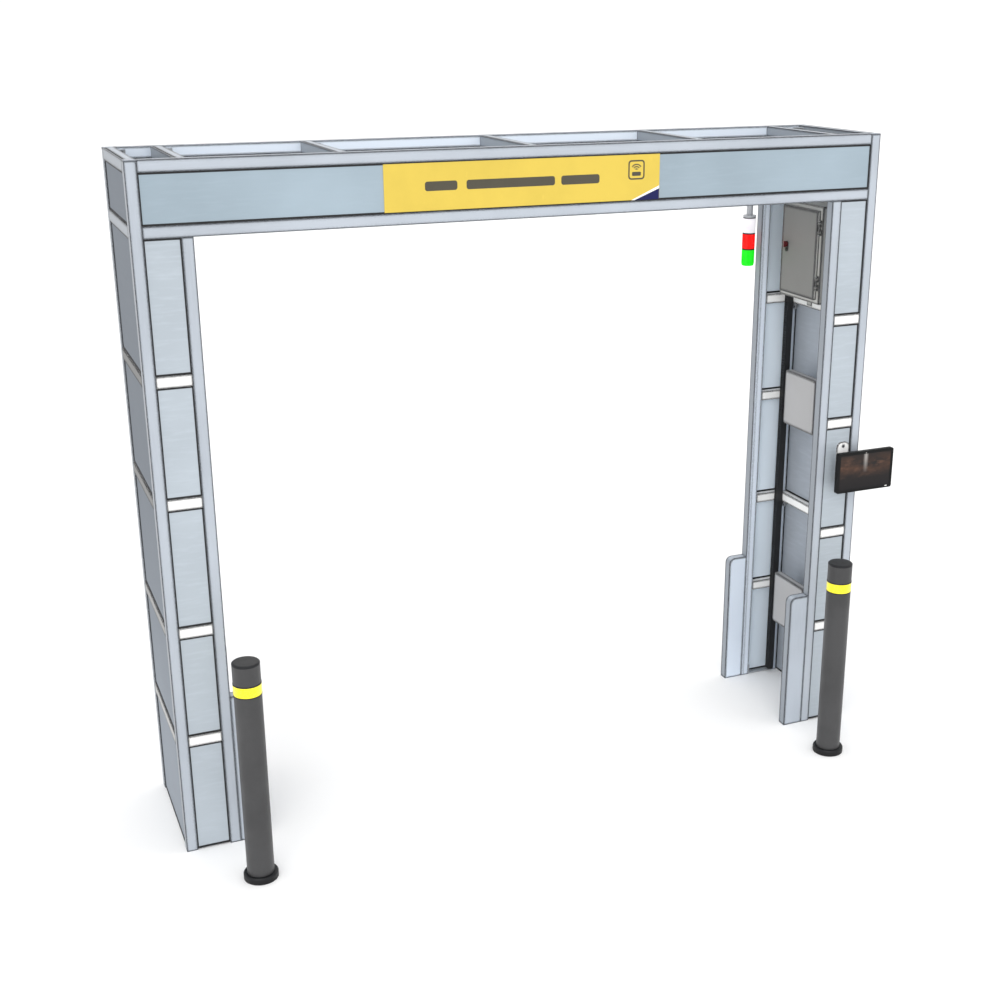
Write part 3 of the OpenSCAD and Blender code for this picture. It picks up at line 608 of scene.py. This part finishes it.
MATERIALS = {
    "left_uprights": alu_z, "right_uprights": alu_z,
    "front_top_rail": alu_x, "front_bottom_rail": alu_x,
    "back_top_rail": alu_x, "back_bottom_rail": alu_x,
    "beam_cross_members": alu_y, "left_crossbars": white_coat, "right_crossbars": white_coat,
    "left_front_panels": sheet_x, "left_back_panels": sheet_x, "left_side_panels": sheet_y,
    "right_front_panels": sheet_x, "right_back_panels": sheet_x, "right_side_panels": sheet_y,
    "beam_front_panel": sheet_beam, "beam_back_panel": sheet_beam, "beam_end_panels": sheet_y,
    "upright_caps": cap_mat, "corner_brackets": zinc_mat, "frame_screws": dark_screw,
    "floor_shoes": zinc_mat, "cable_ducts": duct_mat, "cable_duct_covers": duct_mat,
    "sign_plate": sign_mat, "left_guards": guard_alu, "right_guards": guard_alu,
    "bollard_posts": bollard_mat, "bollard_caps": bollard_cap_mat, "bollard_bands": band_mat,
    "bollard_base_plates": zinc_mat, "bollard_base_rings": ring_mat,
    "antenna_covers": antenna_mat, "antenna_back_plates": zinc_mat,
    "antenna_brackets": zinc_mat, "tower_stem": stem_mat,
    "white_lamp": lamp_white, "red_lamp": lamp_red, "green_lamp": lamp_green,
    "cabinet_body": cabinet_mat, "cabinet_door": door_mat, "cabinet_gasket": rubber_mat,
    "cabinet_hinge_pins": zinc_mat, "latch_housing": latch_black, "latch_knob": latch_red,
    "latch_cam": zinc_mat, "mounting_plate": zinc_mat, "din_rail": zinc_mat,
    "rfid_reader": reader_mat, "power_supply": zinc_mat, "circuit_breaker": breaker_mat,
    "breaker_toggle": latch_black, "cable_glands": duct_mat,
    "tablet_wall_plate": white_coat, "tablet_arm": white_coat, "tablet_yoke": bracket_black,
    "tablet_holder": bracket_black, "tablet_shell": tablet_mat, "tablet_screen": screen_mat,
    "tablet_button": tablet_mat,
}
for node_name, obj in NODES.items():
    obj.data.materials.clear()
    obj.data.materials.append(MATERIALS[node_name])


# ---------------------------------------------------------------- measures of the gate

# The lowest fields start just above the floor. Strips have a side and an end width, and a rise.
FLOOR_GAP = 0.005
STRIPS, RISE = (0.0048, 0.0075), 0.003
gate_lo, gate_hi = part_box("upright_caps")
HALF_W, HALF_D = gate_hi.x, gate_hi.y
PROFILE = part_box("front_top_rail")[1].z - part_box("front_top_rail")[0].z
INNER_X = -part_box("left_uprights")[1].x
BEAM_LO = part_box("front_bottom_rail")[0].z
LEVELS = spans("left_crossbars", 2, 0.1)
FIELD_Z = [FLOOR_GAP] + [z for pair in LEVELS for z in pair] + [BEAM_LO]
FIELDS = [(FIELD_Z[i], FIELD_Z[i + 1]) for i in range(0, len(FIELD_Z), 2)]
TOP_RAIL_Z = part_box("front_top_rail")[0].z
FRONT_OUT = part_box("left_front_panels")[0].y
FRONT_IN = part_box("left_front_panels")[1].y
SIDE_OUT = -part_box("left_side_panels")[0].x
SIDE_IN = -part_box("left_side_panels")[1].x

# ---------------------------------------------------------------- panel gaskets


def pillar_gaskets(side):
    """Strips round every field of one pillar, on both faces of its sheets."""
    shape = Shape()
    x0, x1 = sorted((side * (INNER_X + PROFILE), side * (HALF_W - PROFILE)))
    for z0, z1 in FIELDS:
        for s in (-1, 1):
            for face, out in ((FRONT_OUT, s), (FRONT_IN, -s)):
                shape.frame(
                    (x0, s * -face, z0), (1, 0, 0), (0, 0, 1), (0, out, 0),
                    x1 - x0, z1 - z0, STRIPS, RISE,
                )
        for face, out in ((SIDE_OUT, side), (SIDE_IN, -side)):
            shape.frame(
                (side * face, -HALF_D + PROFILE, z0), (0, 1, 0), (0, 0, 1), (out, 0, 0),
                2 * (HALF_D - PROFILE), z1 - z0, STRIPS, RISE,
            )
    name = "left" if side < 0 else "right"
    shape.piece(f"{name}_pillar_gaskets", rubber_mat, slot="black_rubber")


def beam_gaskets():
    """Strips round the beam's four fields, on both faces of its sheets."""
    shape = Shape()
    z0, z1 = BEAM_LO + PROFILE, TOP_RAIL_Z
    x1 = HALF_W - PROFILE
    for s in (-1, 1):
        for face, out in ((FRONT_OUT, s), (FRONT_IN, -s)):
            shape.frame(
                (-x1, s * -face, z0), (1, 0, 0), (0, 0, 1), (0, out, 0),
                2 * x1, z1 - z0, STRIPS, RISE,
            )
        for face, out in ((SIDE_OUT, s), (SIDE_IN, -s)):
            shape.frame(
                (s * face, -HALF_D + PROFILE, z0), (0, 1, 0), (0, 0, 1), (out, 0, 0),
                2 * (HALF_D - PROFILE), z1 - z0, STRIPS, RISE,
            )
    shape.piece("beam_gaskets", rubber_mat, slot="black_rubber")


pillar_gaskets(-1)
pillar_gaskets(1)
beam_gaskets()


# Seals: half width, how deep they lie in the profile's face, and the gap at their ends.
SEAL_HALF = 0.0012
SEAL_FROM, SEAL_TO = 0.0016, 0.0004
SEAL_END = 0.001
SEAL_CHAMFER = 0.0003


def joint_seals():
    """Thin dark seals where the rails butt against the uprights."""
    shape = Shape()
    for sx in (-1, 1):
        for z in (BEAM_LO, TOP_RAIL_Z):
            z0, z1 = z + SEAL_END, z + PROFILE - SEAL_END
            x = sx * (HALF_W - PROFILE)
            for sy in (-1, 1):
                y0, y1 = sorted((sy * (HALF_D - SEAL_FROM), sy * (HALF_D - SEAL_TO)))
                shape.bar((x - SEAL_HALF, y0, z0), (x + SEAL_HALF, y1, z1), SEAL_CHAMFER)
                x0, x1 = sorted((sx * (HALF_W - SEAL_FROM), sx * (HALF_W - SEAL_TO)))
                y = sy * (HALF_D - PROFILE)
                shape.bar((x0, y - SEAL_HALF, z0), (x1, y + SEAL_HALF, z1), SEAL_CHAMFER)
    shape.piece("rail_joint_seals", rubber_mat, slot="black_rubber")


joint_seals()

# ---------------------------------------------------------------- sign print

sign_lo, sign_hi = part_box("sign_plate")
SIGN_W, SIGN_H = sign_hi.x - sign_lo.x, sign_hi.z - sign_lo.z
SIGN_FACE = sign_lo.y
PRINT = 0.0003
# Corner triangle and the stripe along it: widths, heights and the margin to the plate's edge.
CORNER_W, CORNER_H = 0.1185, 0.0465
STRIPE_W, STRIPE_H = 0.1330, 0.0575
MARGIN = 0.0006
# Bars in place of the words: place along the sign and length, then height, level and corner.
WORD_BARS = ((0.196, 0.132), (0.4435, 0.374), (0.6975, 0.168))
BAR_H, BAR_V, BAR_R = 0.036, 0.51, 0.010
# Symbol: place, outer and inner border, the bar under the arcs, and the arcs.
SYMBOL_AT = (0.910, 0.66)
BORDER_OUT, BORDER_IN = (0.074, 0.078, 0.014), (0.062, 0.066, 0.009)
SYMBOL_BAR, SYMBOL_BAR_Z = (0.040, 0.016, 0.004), -0.016
ARC_RADII, ARC_WIDTH, ARC_Z = (0.008, 0.017, 0.026), 0.0045, -0.002
ARC_DEGREES = range(35, 146, 10)
navy = coated("print_navy", (12, 18, 78), rough=(0.35, 0.45), dirt=0.04)
print_white = coated("print_white", (250, 250, 246), rough=(0.35, 0.45), dirt=0.03)
print_grey = coated("print_grey", (78, 74, 62), rough=(0.4, 0.5), dirt=0.05)


def on_sign(u, v):
    """Matrix to a place on the sign's face, in shares of its width and height."""
    at = (sign_lo.x + u * SIGN_W, SIGN_FACE, sign_lo.z + v * SIGN_H)
    return Matrix.Translation(Vector(at)) @ Matrix.Rotation(math.radians(90), 4, "X")


def sign_border(shape, place):
    """Raised border of the symbol, with an open middle."""
    outer, inner = rounded(*BORDER_OUT), rounded(*BORDER_IN)
    base = len(shape.verts)
    for z in (0.0, PRINT):
        for ring in (outer, inner):
            shape.verts += [place @ Vector((x, y, z)) for x, y in ring]
    n = len(outer)
    o0, i0, o1, i1 = base, base + n, base + 2 * n, base + 3 * n
    for i in range(n):
        j = (i + 1) % n
        shape.faces += [
            (o1 + i, o1 + j, i1 + j, i1 + i), (o0 + i, o0 + j, o1 + j, o1 + i),
            (i0 + j, i0 + i, i1 + i, i1 + j), (o0 + j, o0 + i, i0 + i, i0 + j),
        ]


def sign_arc(shape, r, place):
    """Raised arc of the symbol, from its outer radius inwards."""
    arc = [math.radians(a) for a in ARC_DEGREES]
    ring = [(r * math.cos(a), r * math.sin(a)) for a in arc]
    ring += [((r - ARC_WIDTH) * math.cos(a), (r - ARC_WIDTH) * math.sin(a)) for a in reversed(arc)]
    m = len(arc)
    low = len(shape.verts)
    top = low + 2 * m
    for z in (0.0, PRINT):
        shape.verts += [place @ Vector((x, y, z)) for x, y in ring]
    for i in range(m - 1):
        shape.faces.append((top + i, top + i + 1, top + 2 * m - 2 - i, top + 2 * m - 1 - i))
        shape.faces.append((low + i + 1, low + i, low + 2 * m - 1 - i, low + 2 * m - 2 - i))
    for i in range(2 * m):
        j = (i + 1) % (2 * m)
        shape.faces.append((low + i, low + j, top + j, top + i))


def sign_print():
    corner = Shape()
    place = on_sign(1.0, 0.0)
    corner.prism(
        [(-CORNER_W, MARGIN), (-MARGIN, MARGIN), (-MARGIN, CORNER_H)], 0, PRINT, place
    )
    corner.piece("sign_corner", navy, slot="sign_coating")
    stripe = Shape()
    stripe.prism(
        [(-STRIPE_W, MARGIN), (-CORNER_W, MARGIN), (-MARGIN, CORNER_H), (-MARGIN, STRIPE_H)],
        0, PRINT * 0.8, place,
    )
    stripe.piece("sign_stripe", print_white, slot="sign_coating")
    marks = Shape()
    for u, length in WORD_BARS:
        marks.prism(rounded(length, BAR_H, BAR_R), 0, PRINT, on_sign(u, BAR_V))
    place = on_sign(*SYMBOL_AT)
    sign_border(marks, place)
    bar_place = place @ Matrix.Translation((0, SYMBOL_BAR_Z, 0))
    marks.prism(rounded(*SYMBOL_BAR), 0, PRINT, bar_place)
    for r in ARC_RADII:
        sign_arc(marks, r, place @ Matrix.Translation((0, ARC_Z, 0)))
    marks.piece("sign_marks", print_grey, slot="sign_coating")


sign_print()

# ---------------------------------------------------------------- signal tower

# Depth of the lenses' flutes, and how many points go round a lens and a seal.
FLUTE = 0.0011
LENS_COUNT, SEAL_COUNT = 96, 64
# Height of the lowest lens's narrow foot.
FOOT = 0.010


def signal_tower():
    """Fluted lenses in place of the plain lamps, with a dark seal over each."""
    seals = Shape()
    for node_name, mat, slot in (
        ("white_lamp", lamp_white, "white_lens"),
        ("red_lamp", lamp_red, "red_lens"),
        ("green_lamp", lamp_green, "green_lens"),
    ):
        lo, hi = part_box(node_name)
        r = (hi.x - lo.x) / 2
        place = upright(lo, hi)
        shape = Shape()
        top, low = hi.z - 0.004, lo.z + 0.001
        profile = [(r * 0.9, low)]
        if node_name == "green_lamp":
            foot = lo.z + FOOT
            profile = [(r - 0.010, low), (r - 0.004, low + 0.0022), (r - 0.0012, foot - 0.002)]
            low = foot
        profile += [
            (r - 0.0006, low + 0.002), (r, low + 0.005), (r, top - 0.004),
            (r - 0.0006, top - 0.001), (r * 0.9, top),
        ]
        shape.lathe(profile, place, LENS_COUNT, FLUTE)
        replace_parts(shape.piece(f"{node_name}_lens", mat, smooth=True, slot=slot), node_name)
        seals.lathe(
            [(r * 0.9, top - 0.0005), (r - 0.0004, top - 0.0002), (r, top + 0.0012),
             (r, top + 0.0032), (r - 0.0004, top + 0.0044), (r * 0.9, top + 0.0046)],
            place, SEAL_COUNT,
        )
    seals.piece("tower_seals", rubber_mat, smooth=True, slot="black_rubber")


signal_tower()

# ---------------------------------------------------------------- screw sockets

# Screw head's radius in the CAD, and how far its points may lie from a level or the radius.
HEAD_R, HEAD_FIT = 0.004, 0.0006
LEVEL_FIT = 0.0002
SOCKET_R = 0.0028


def screw_sockets():
    """Dark hexagon on the head of each frame screw, at the end where the head is."""
    shape = Shape()
    for lo, hi, pts in islands("frame_screws"):
        size = hi - lo
        axis = min(range(3), key=lambda i: size[i])
        a, b = (i for i in range(3) if i != axis)
        centre = (lo + hi) / 2

        def reach(level):
            near = [p for p in pts if abs(p[axis] - level) < LEVEL_FIT]
            return max((math.hypot(p[a] - centre[a], p[b] - centre[b]) for p in near), default=0)

        wide_low = abs(reach(lo[axis]) - HEAD_R) < HEAD_FIT
        head_up = wide_low and reach(hi[axis]) < HEAD_R - 0.0001
        direction = Vector((0, 0, 0))
        direction[axis] = 1 if head_up else -1
        top = centre.copy()
        top[axis] = hi[axis] if head_up else lo[axis]
        place = turned(direction, top)
        shape.prism(regular(6, SOCKET_R), -0.0002, 0.00025, place, 0.0001)
    shape.piece("screw_sockets", rubber_mat, slot="dark_screw_steel")


screw_sockets()

# ---------------------------------------------------------------- slotted wiring ducts

DUCT_WALL, DUCT_PITCH, DUCT_FINGER = 0.002, 0.0125, 0.0085
DUCT_CHAMFER = 0.0002


def slotted_ducts():
    """Comb-walled wiring ducts in place of the plain channels."""
    shape = Shape()
    for lo, hi, _ in islands("cable_ducts"):
        along, cross = (2, 0) if hi.z - lo.z > hi.x - lo.x else (0, 2)
        shape.bar((lo.x, hi.y - DUCT_WALL, lo.z), hi, DUCT_CHAMFER)
        for k in range(int((hi[along] - lo[along]) / DUCT_PITCH)):
            start = lo[along] + DUCT_WALL + k * DUCT_PITCH
            for far in (False, True):
                a, b = lo.copy(), hi.copy()
                a[along], b[along] = start, start + DUCT_FINGER
                b.y = hi.y - DUCT_WALL
                if far:
                    a[cross] = hi[cross] - DUCT_WALL
                else:
                    b[cross] = lo[cross] + DUCT_WALL
                shape.bar(a, b, DUCT_CHAMFER)
    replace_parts(shape.piece("slotted_cable_ducts", duct_mat, slot="duct_plastic"), "cable_ducts")


slotted_ducts()

# ---------------------------------------------------------------- small screw heads

# Profiles as (radius, height) over the face the head stands on, from the foot to the recess.
ANTENNA_SCREW = [
    (0.0048, -0.0002), (0.0048, 0.0006), (0.0038, 0.0014), (0.0018, 0.0015), (0.0016, 0.0006),
]
SUPPLY_SCREW = [
    (0.0031, -0.0006), (0.0031, 0.0005), (0.0024, 0.0009), (0.0009, 0.0009), (0.0007, 0.0002),
]
BREAKER_SCREW = [
    (0.0032, -0.0006), (0.0032, 0.0006), (0.0024, 0.001), (0.0009, 0.001), (0.0007, 0.0003),
]
HOLDER_SCREW = [
    (0.0034, -0.0002), (0.0034, 0.0008), (0.0026, 0.0014), (0.0010, 0.0014), (0.0008, 0.0006),
]
LEFTWARD = (-1, 0, 0)

# ---------------------------------------------------------------- antennas

SCREW_INSET = 0.019
FIELD_INSET, FIELD_R = 0.062, 0.012


def antenna_detail():
    """Corner screws and a shallow raised field on each antenna's cover."""
    screws, fields = Shape(), Shape()
    for lo, hi, _ in islands("antenna_covers"):
        side = 1 if lo.x > 0 else -1
        face = lo.x if side > 0 else hi.x
        inward = (-side, 0, 0)
        cy, cz = (lo.y + hi.y) / 2, (lo.z + hi.z) / 2
        half = (hi.y - lo.y) / 2
        for sy in (-1, 1):
            for sz in (-1, 1):
                at = (face, cy + sy * (half - SCREW_INSET), cz + sz * (half - SCREW_INSET))
                screws.lathe(ANTENNA_SCREW, turned(inward, at), 20)
        width = 2 * half - FIELD_INSET
        place = turned(inward, (face, cy, cz))
        fields.prism(rounded(width, width, FIELD_R), -0.0002, 0.0006, place, 0.0005)
    screws.piece("antenna_screws", zinc_mat, smooth=True, slot="zinc_plate")
    fields.piece("antenna_fields", antenna_face_mat, slot="antenna_plastic")


antenna_detail()

# ---------------------------------------------------------------- cabinet

# Space between the door's edges and its stiffeners, and how far they reach out from its rim.
STIFF_INSET, STIFF_X = 0.03, 0.0125
# Folds: height over the glands' lower ends, distance from lowest to highest, and thickness.
FOLD_RISE, FOLD_SPAN, FOLD_W = 0.022, 0.440, 0.0012
# Reader's lights and terminal screws: profile, number and distance from one to the next.
LIGHT_PROFILE = [(0.0022, -0.003), (0.0022, 0.0004), (0.0014, 0.0012)]
LIGHT_COUNT, LIGHT_PITCH = 5, 0.010
TERMINAL_COUNT, TERMINAL_PITCH = 5, 0.0085
# Breaker's screws: inset from its sides, and how far their face lies behind its front.
BREAKER_INSET, BREAKER_STEP = 0.009, 0.008


def door_stiffeners():
    lo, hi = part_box("cabinet_door")
    shape = Shape()
    y0, y1 = lo.y + STIFF_INSET, hi.y - STIFF_INSET
    x = hi.x - STIFF_X
    for y in (y0 + 0.012, y1 - 0.075):
        shape.bar(
            (x, y, lo.z + STIFF_INSET), (hi.x - 0.006, y + 0.026, hi.z - STIFF_INSET), 0.0015
        )
    shape.bar((x, y0 + 0.05, lo.z + 0.045), (hi.x - 0.009, y1 - 0.09, lo.z + 0.052), 0.0012)
    shape.piece("door_stiffeners", cabinet_mat, "cabinet_door", slot="cabinet_paint")


def cabinet_folds():
    lo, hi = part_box("cabinet_body")
    shape = Shape()
    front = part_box("cabinet_gasket")[1].x + 0.0002
    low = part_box("cable_glands")[0].z + FOLD_RISE
    top = low + FOLD_SPAN
    for z0, z1 in ((low, low + FOLD_W), (top - FOLD_W, top)):
        shape.bar((front - 0.0008, lo.y + 0.004, z0), (front, hi.y - 0.004, z1), 0.0003)
    shape.piece("cabinet_folds", cabinet_mat, slot="cabinet_paint")


def reader_lights():
    lo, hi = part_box("rfid_reader")
    shape = Shape()
    for k in range(LIGHT_COUNT):
        at = (lo.x, lo.y + 0.028 + k * LIGHT_PITCH, hi.z - 0.008)
        shape.lathe(LIGHT_PROFILE, turned(LEFTWARD, at), 16)
    shape.piece("reader_lights", lamp_green, smooth=True, slot="green_lens")


def terminal_screws():
    shape = Shape()
    lo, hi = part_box("power_supply")
    for z in (lo.z + 0.016, hi.z - 0.016):
        for k in range(TERMINAL_COUNT):
            at = (lo.x, lo.y + 0.011 + k * TERMINAL_PITCH, z)
            shape.lathe(SUPPLY_SCREW, turned(LEFTWARD, at), 18)
    lo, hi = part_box("circuit_breaker")
    for y in (lo.y + BREAKER_INSET, hi.y - BREAKER_INSET):
        for z in (lo.z + BREAKER_INSET, hi.z - BREAKER_INSET):
            shape.lathe(BREAKER_SCREW, turned(LEFTWARD, (lo.x + BREAKER_STEP, y, z)), 18)
    shape.piece("terminal_screws", zinc_mat, smooth=True, slot="zinc_plate")


door_stiffeners()
cabinet_folds()
reader_lights()
terminal_screws()

# ---------------------------------------------------------------- tablet

BEZEL_W, BEZEL_RISE, BEZEL_OVER = 0.011, 0.0003, 0.0001
VENT_COUNT, VENT_PITCH, VENT_W = 14, 0.0042, 0.0022
HOLDER_SCREW_X, HOLDER_SCREW_Z = 0.042, 0.030
# Height of the camera under the shell's top and of the small light over its lower edge.
EYE_INSET = 0.0095
FORWARD = (0, -1, 0)


def tablet_front():
    """Border round the display, with a camera over it and a small light under it."""
    lo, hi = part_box("tablet_shell")
    screen_lo, screen_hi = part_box("tablet_screen")
    bezel = Shape()
    bezel.frame(
        (screen_lo.x - BEZEL_OVER, screen_lo.y, screen_lo.z - BEZEL_OVER),
        (1, 0, 0), (0, 0, 1), FORWARD,
        screen_hi.x - screen_lo.x + 2 * BEZEL_OVER, screen_hi.z - screen_lo.z + 2 * BEZEL_OVER,
        (BEZEL_W, BEZEL_W), BEZEL_RISE,
    )
    bezel.piece("tablet_bezel", tablet_mat, "tablet", slot="tablet_black")
    eye = Shape()
    at = ((lo.x + hi.x) / 2, screen_lo.y, hi.z - EYE_INSET)
    eye.lathe([(0.0028, 0), (0.0028, 0.0005), (0.0018, 0.0007)], turned(FORWARD, at), 20)
    eye.piece("tablet_camera", screen_mat, "tablet", smooth=True, slot="screen_glass")
    glint = Shape()
    at = (hi.x - 0.030, screen_lo.y, lo.z + EYE_INSET)
    glint.prism(rounded(0.012, 0.0035, 0.0012), 0, 0.0005, turned(FORWARD, at))
    glint.piece("tablet_light", print_white, "tablet", slot="white_lens")


def tablet_back():
    """Vent bars on the shell and screws on its holder."""
    lo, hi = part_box("tablet_shell")
    cx, cz = (lo.x + hi.x) / 2, (lo.z + hi.z) / 2
    shape = Shape()
    y0, y1 = hi.y - 0.0002, hi.y + 0.0006
    for k in range(VENT_COUNT):
        x = cx - 0.110 + k * VENT_PITCH
        shape.bar((x, y0, hi.z - 0.040), (x + VENT_W, y1, hi.z - 0.018), 0.0003)
    for sx in (-1, 1):
        for sz in (-1, 1):
            at = (cx + sx * HOLDER_SCREW_X, hi.y + 0.003, cz + sz * HOLDER_SCREW_Z)
            shape.lathe(HOLDER_SCREW, turned((0, 1, 0), at), 18)
    shape.piece("tablet_back_detail", dark_screw, "tablet", slot="dark_screw_steel")


tablet_front()
tablet_back()

# ---------------------------------------------------------------- bollards

POST_COUNT = 96
# Weld bead's half height, and how far beads and band edges stand proud of the post.
BEAD_HALF, PROUD = 0.0016, 0.0002
EDGE_H = 0.0042


def bollard_detail():
    """Weld bead between each post and its cap, and the band's thin edges."""
    beads, edges = Shape(), Shape()
    for lo, hi, _ in islands("bollard_posts"):
        r, z = (hi.x - lo.x) / 2, hi.z
        beads.lathe(
            [(r - 0.001, z - BEAD_HALF), (r + PROUD, z - 0.0010), (r + 2 * PROUD, z),
             (r + PROUD, z + 0.0010), (r - 0.001, z + BEAD_HALF)],
            upright(lo, hi), POST_COUNT,
        )
    for lo, hi, _ in islands("bollard_bands"):
        r = (hi.x - lo.x) / 2
        for z in (lo.z, hi.z - EDGE_H):
            edges.lathe(
                [(r - 0.0010, z - 0.0002), (r + PROUD, z), (r + PROUD, z + EDGE_H),
                 (r - 0.0010, z + EDGE_H + 0.0002)],
                upright(lo, hi), POST_COUNT,
            )
    beads.piece("bollard_weld_beads", bollard_cap_mat, smooth=True, slot="bollard_cap_paint")
    edges.piece("band_edges", rubber_mat, smooth=True, slot="black_rubber")


bollard_detail()

# ---------------------------------------------------------------- floor, light, camera

FLOOR_HALF, FLOOR_Z = 90, -0.0006
WORLD_STRENGTH = 1.04
# Camera fitted to the photograph: place, angles in degrees, lens in mm and shift of the sensor.
CAMERA_AT = (-2.25546, -5.66245, 3.27190)
CAMERA_YAW, CAMERA_PITCH = 23.113, 18.8485
CAMERA_LENS, CAMERA_SENSOR = 51.72, 36
CAMERA_SHIFT = (-0.0485, 0.0091)
CAMERA_REACH = 300


def floor():
    t = Tree("floor_pale")
    t.finish(srgb(252, 252, 252), 0.9, None, Specular_IOR_Level=0.1)
    data = bpy.data.meshes.new("floor")
    corners = ((-1, -1), (1, -1), (1, 1), (-1, 1))
    data.from_pydata(
        [(x * FLOOR_HALF, y * FLOOR_HALF, FLOOR_Z) for x, y in corners], [], [(0, 1, 2, 3)]
    )
    data.materials.append(t.material)
    linked("floor", data)


def world():
    """Even white surroundings."""
    made = bpy.data.worlds.new("studio")
    made.use_nodes = True
    back = made.node_tree.nodes["Background"]
    back.inputs["Color"].default_value = (1, 1, 1, 1)
    back.inputs["Strength"].default_value = WORLD_STRENGTH
    bpy.context.scene.world = made


def sun(name, direction, energy, spread):
    light = bpy.data.lights.new(name, "SUN")
    light.energy = energy
    light.angle = math.radians(spread)
    obj = linked(name, light)
    obj.rotation_mode = "QUATERNION"
    obj.rotation_quaternion = Vector(direction).to_track_quat("-Z", "Y")


def camera():
    yaw, pitch = math.radians(CAMERA_YAW), math.radians(CAMERA_PITCH)
    ahead = Vector(
        (math.sin(yaw) * math.cos(pitch), math.cos(yaw) * math.cos(pitch), -math.sin(pitch))
    )
    right = Vector((math.cos(yaw), -math.sin(yaw), 0))
    up = right.cross(ahead)
    data = bpy.data.cameras.new("camera")
    data.lens = CAMERA_LENS
    data.sensor_width = CAMERA_SENSOR
    data.shift_x, data.shift_y = CAMERA_SHIFT
    data.clip_end = CAMERA_REACH
    obj = linked("camera", data)
    place = Matrix((right, up, -ahead)).transposed().to_4x4()
    place.translation = Vector(CAMERA_AT)
    obj.matrix_world = place
    bpy.context.scene.camera = obj


floor()
world()
sun("front_light", (0.45, 0.80, -0.42), 1.0, 50)
sun("top_light", (-0.1, 0.15, -1.0), 0.3, 60)
camera()
bpy.context.scene.view_settings.view_transform = "Standard"
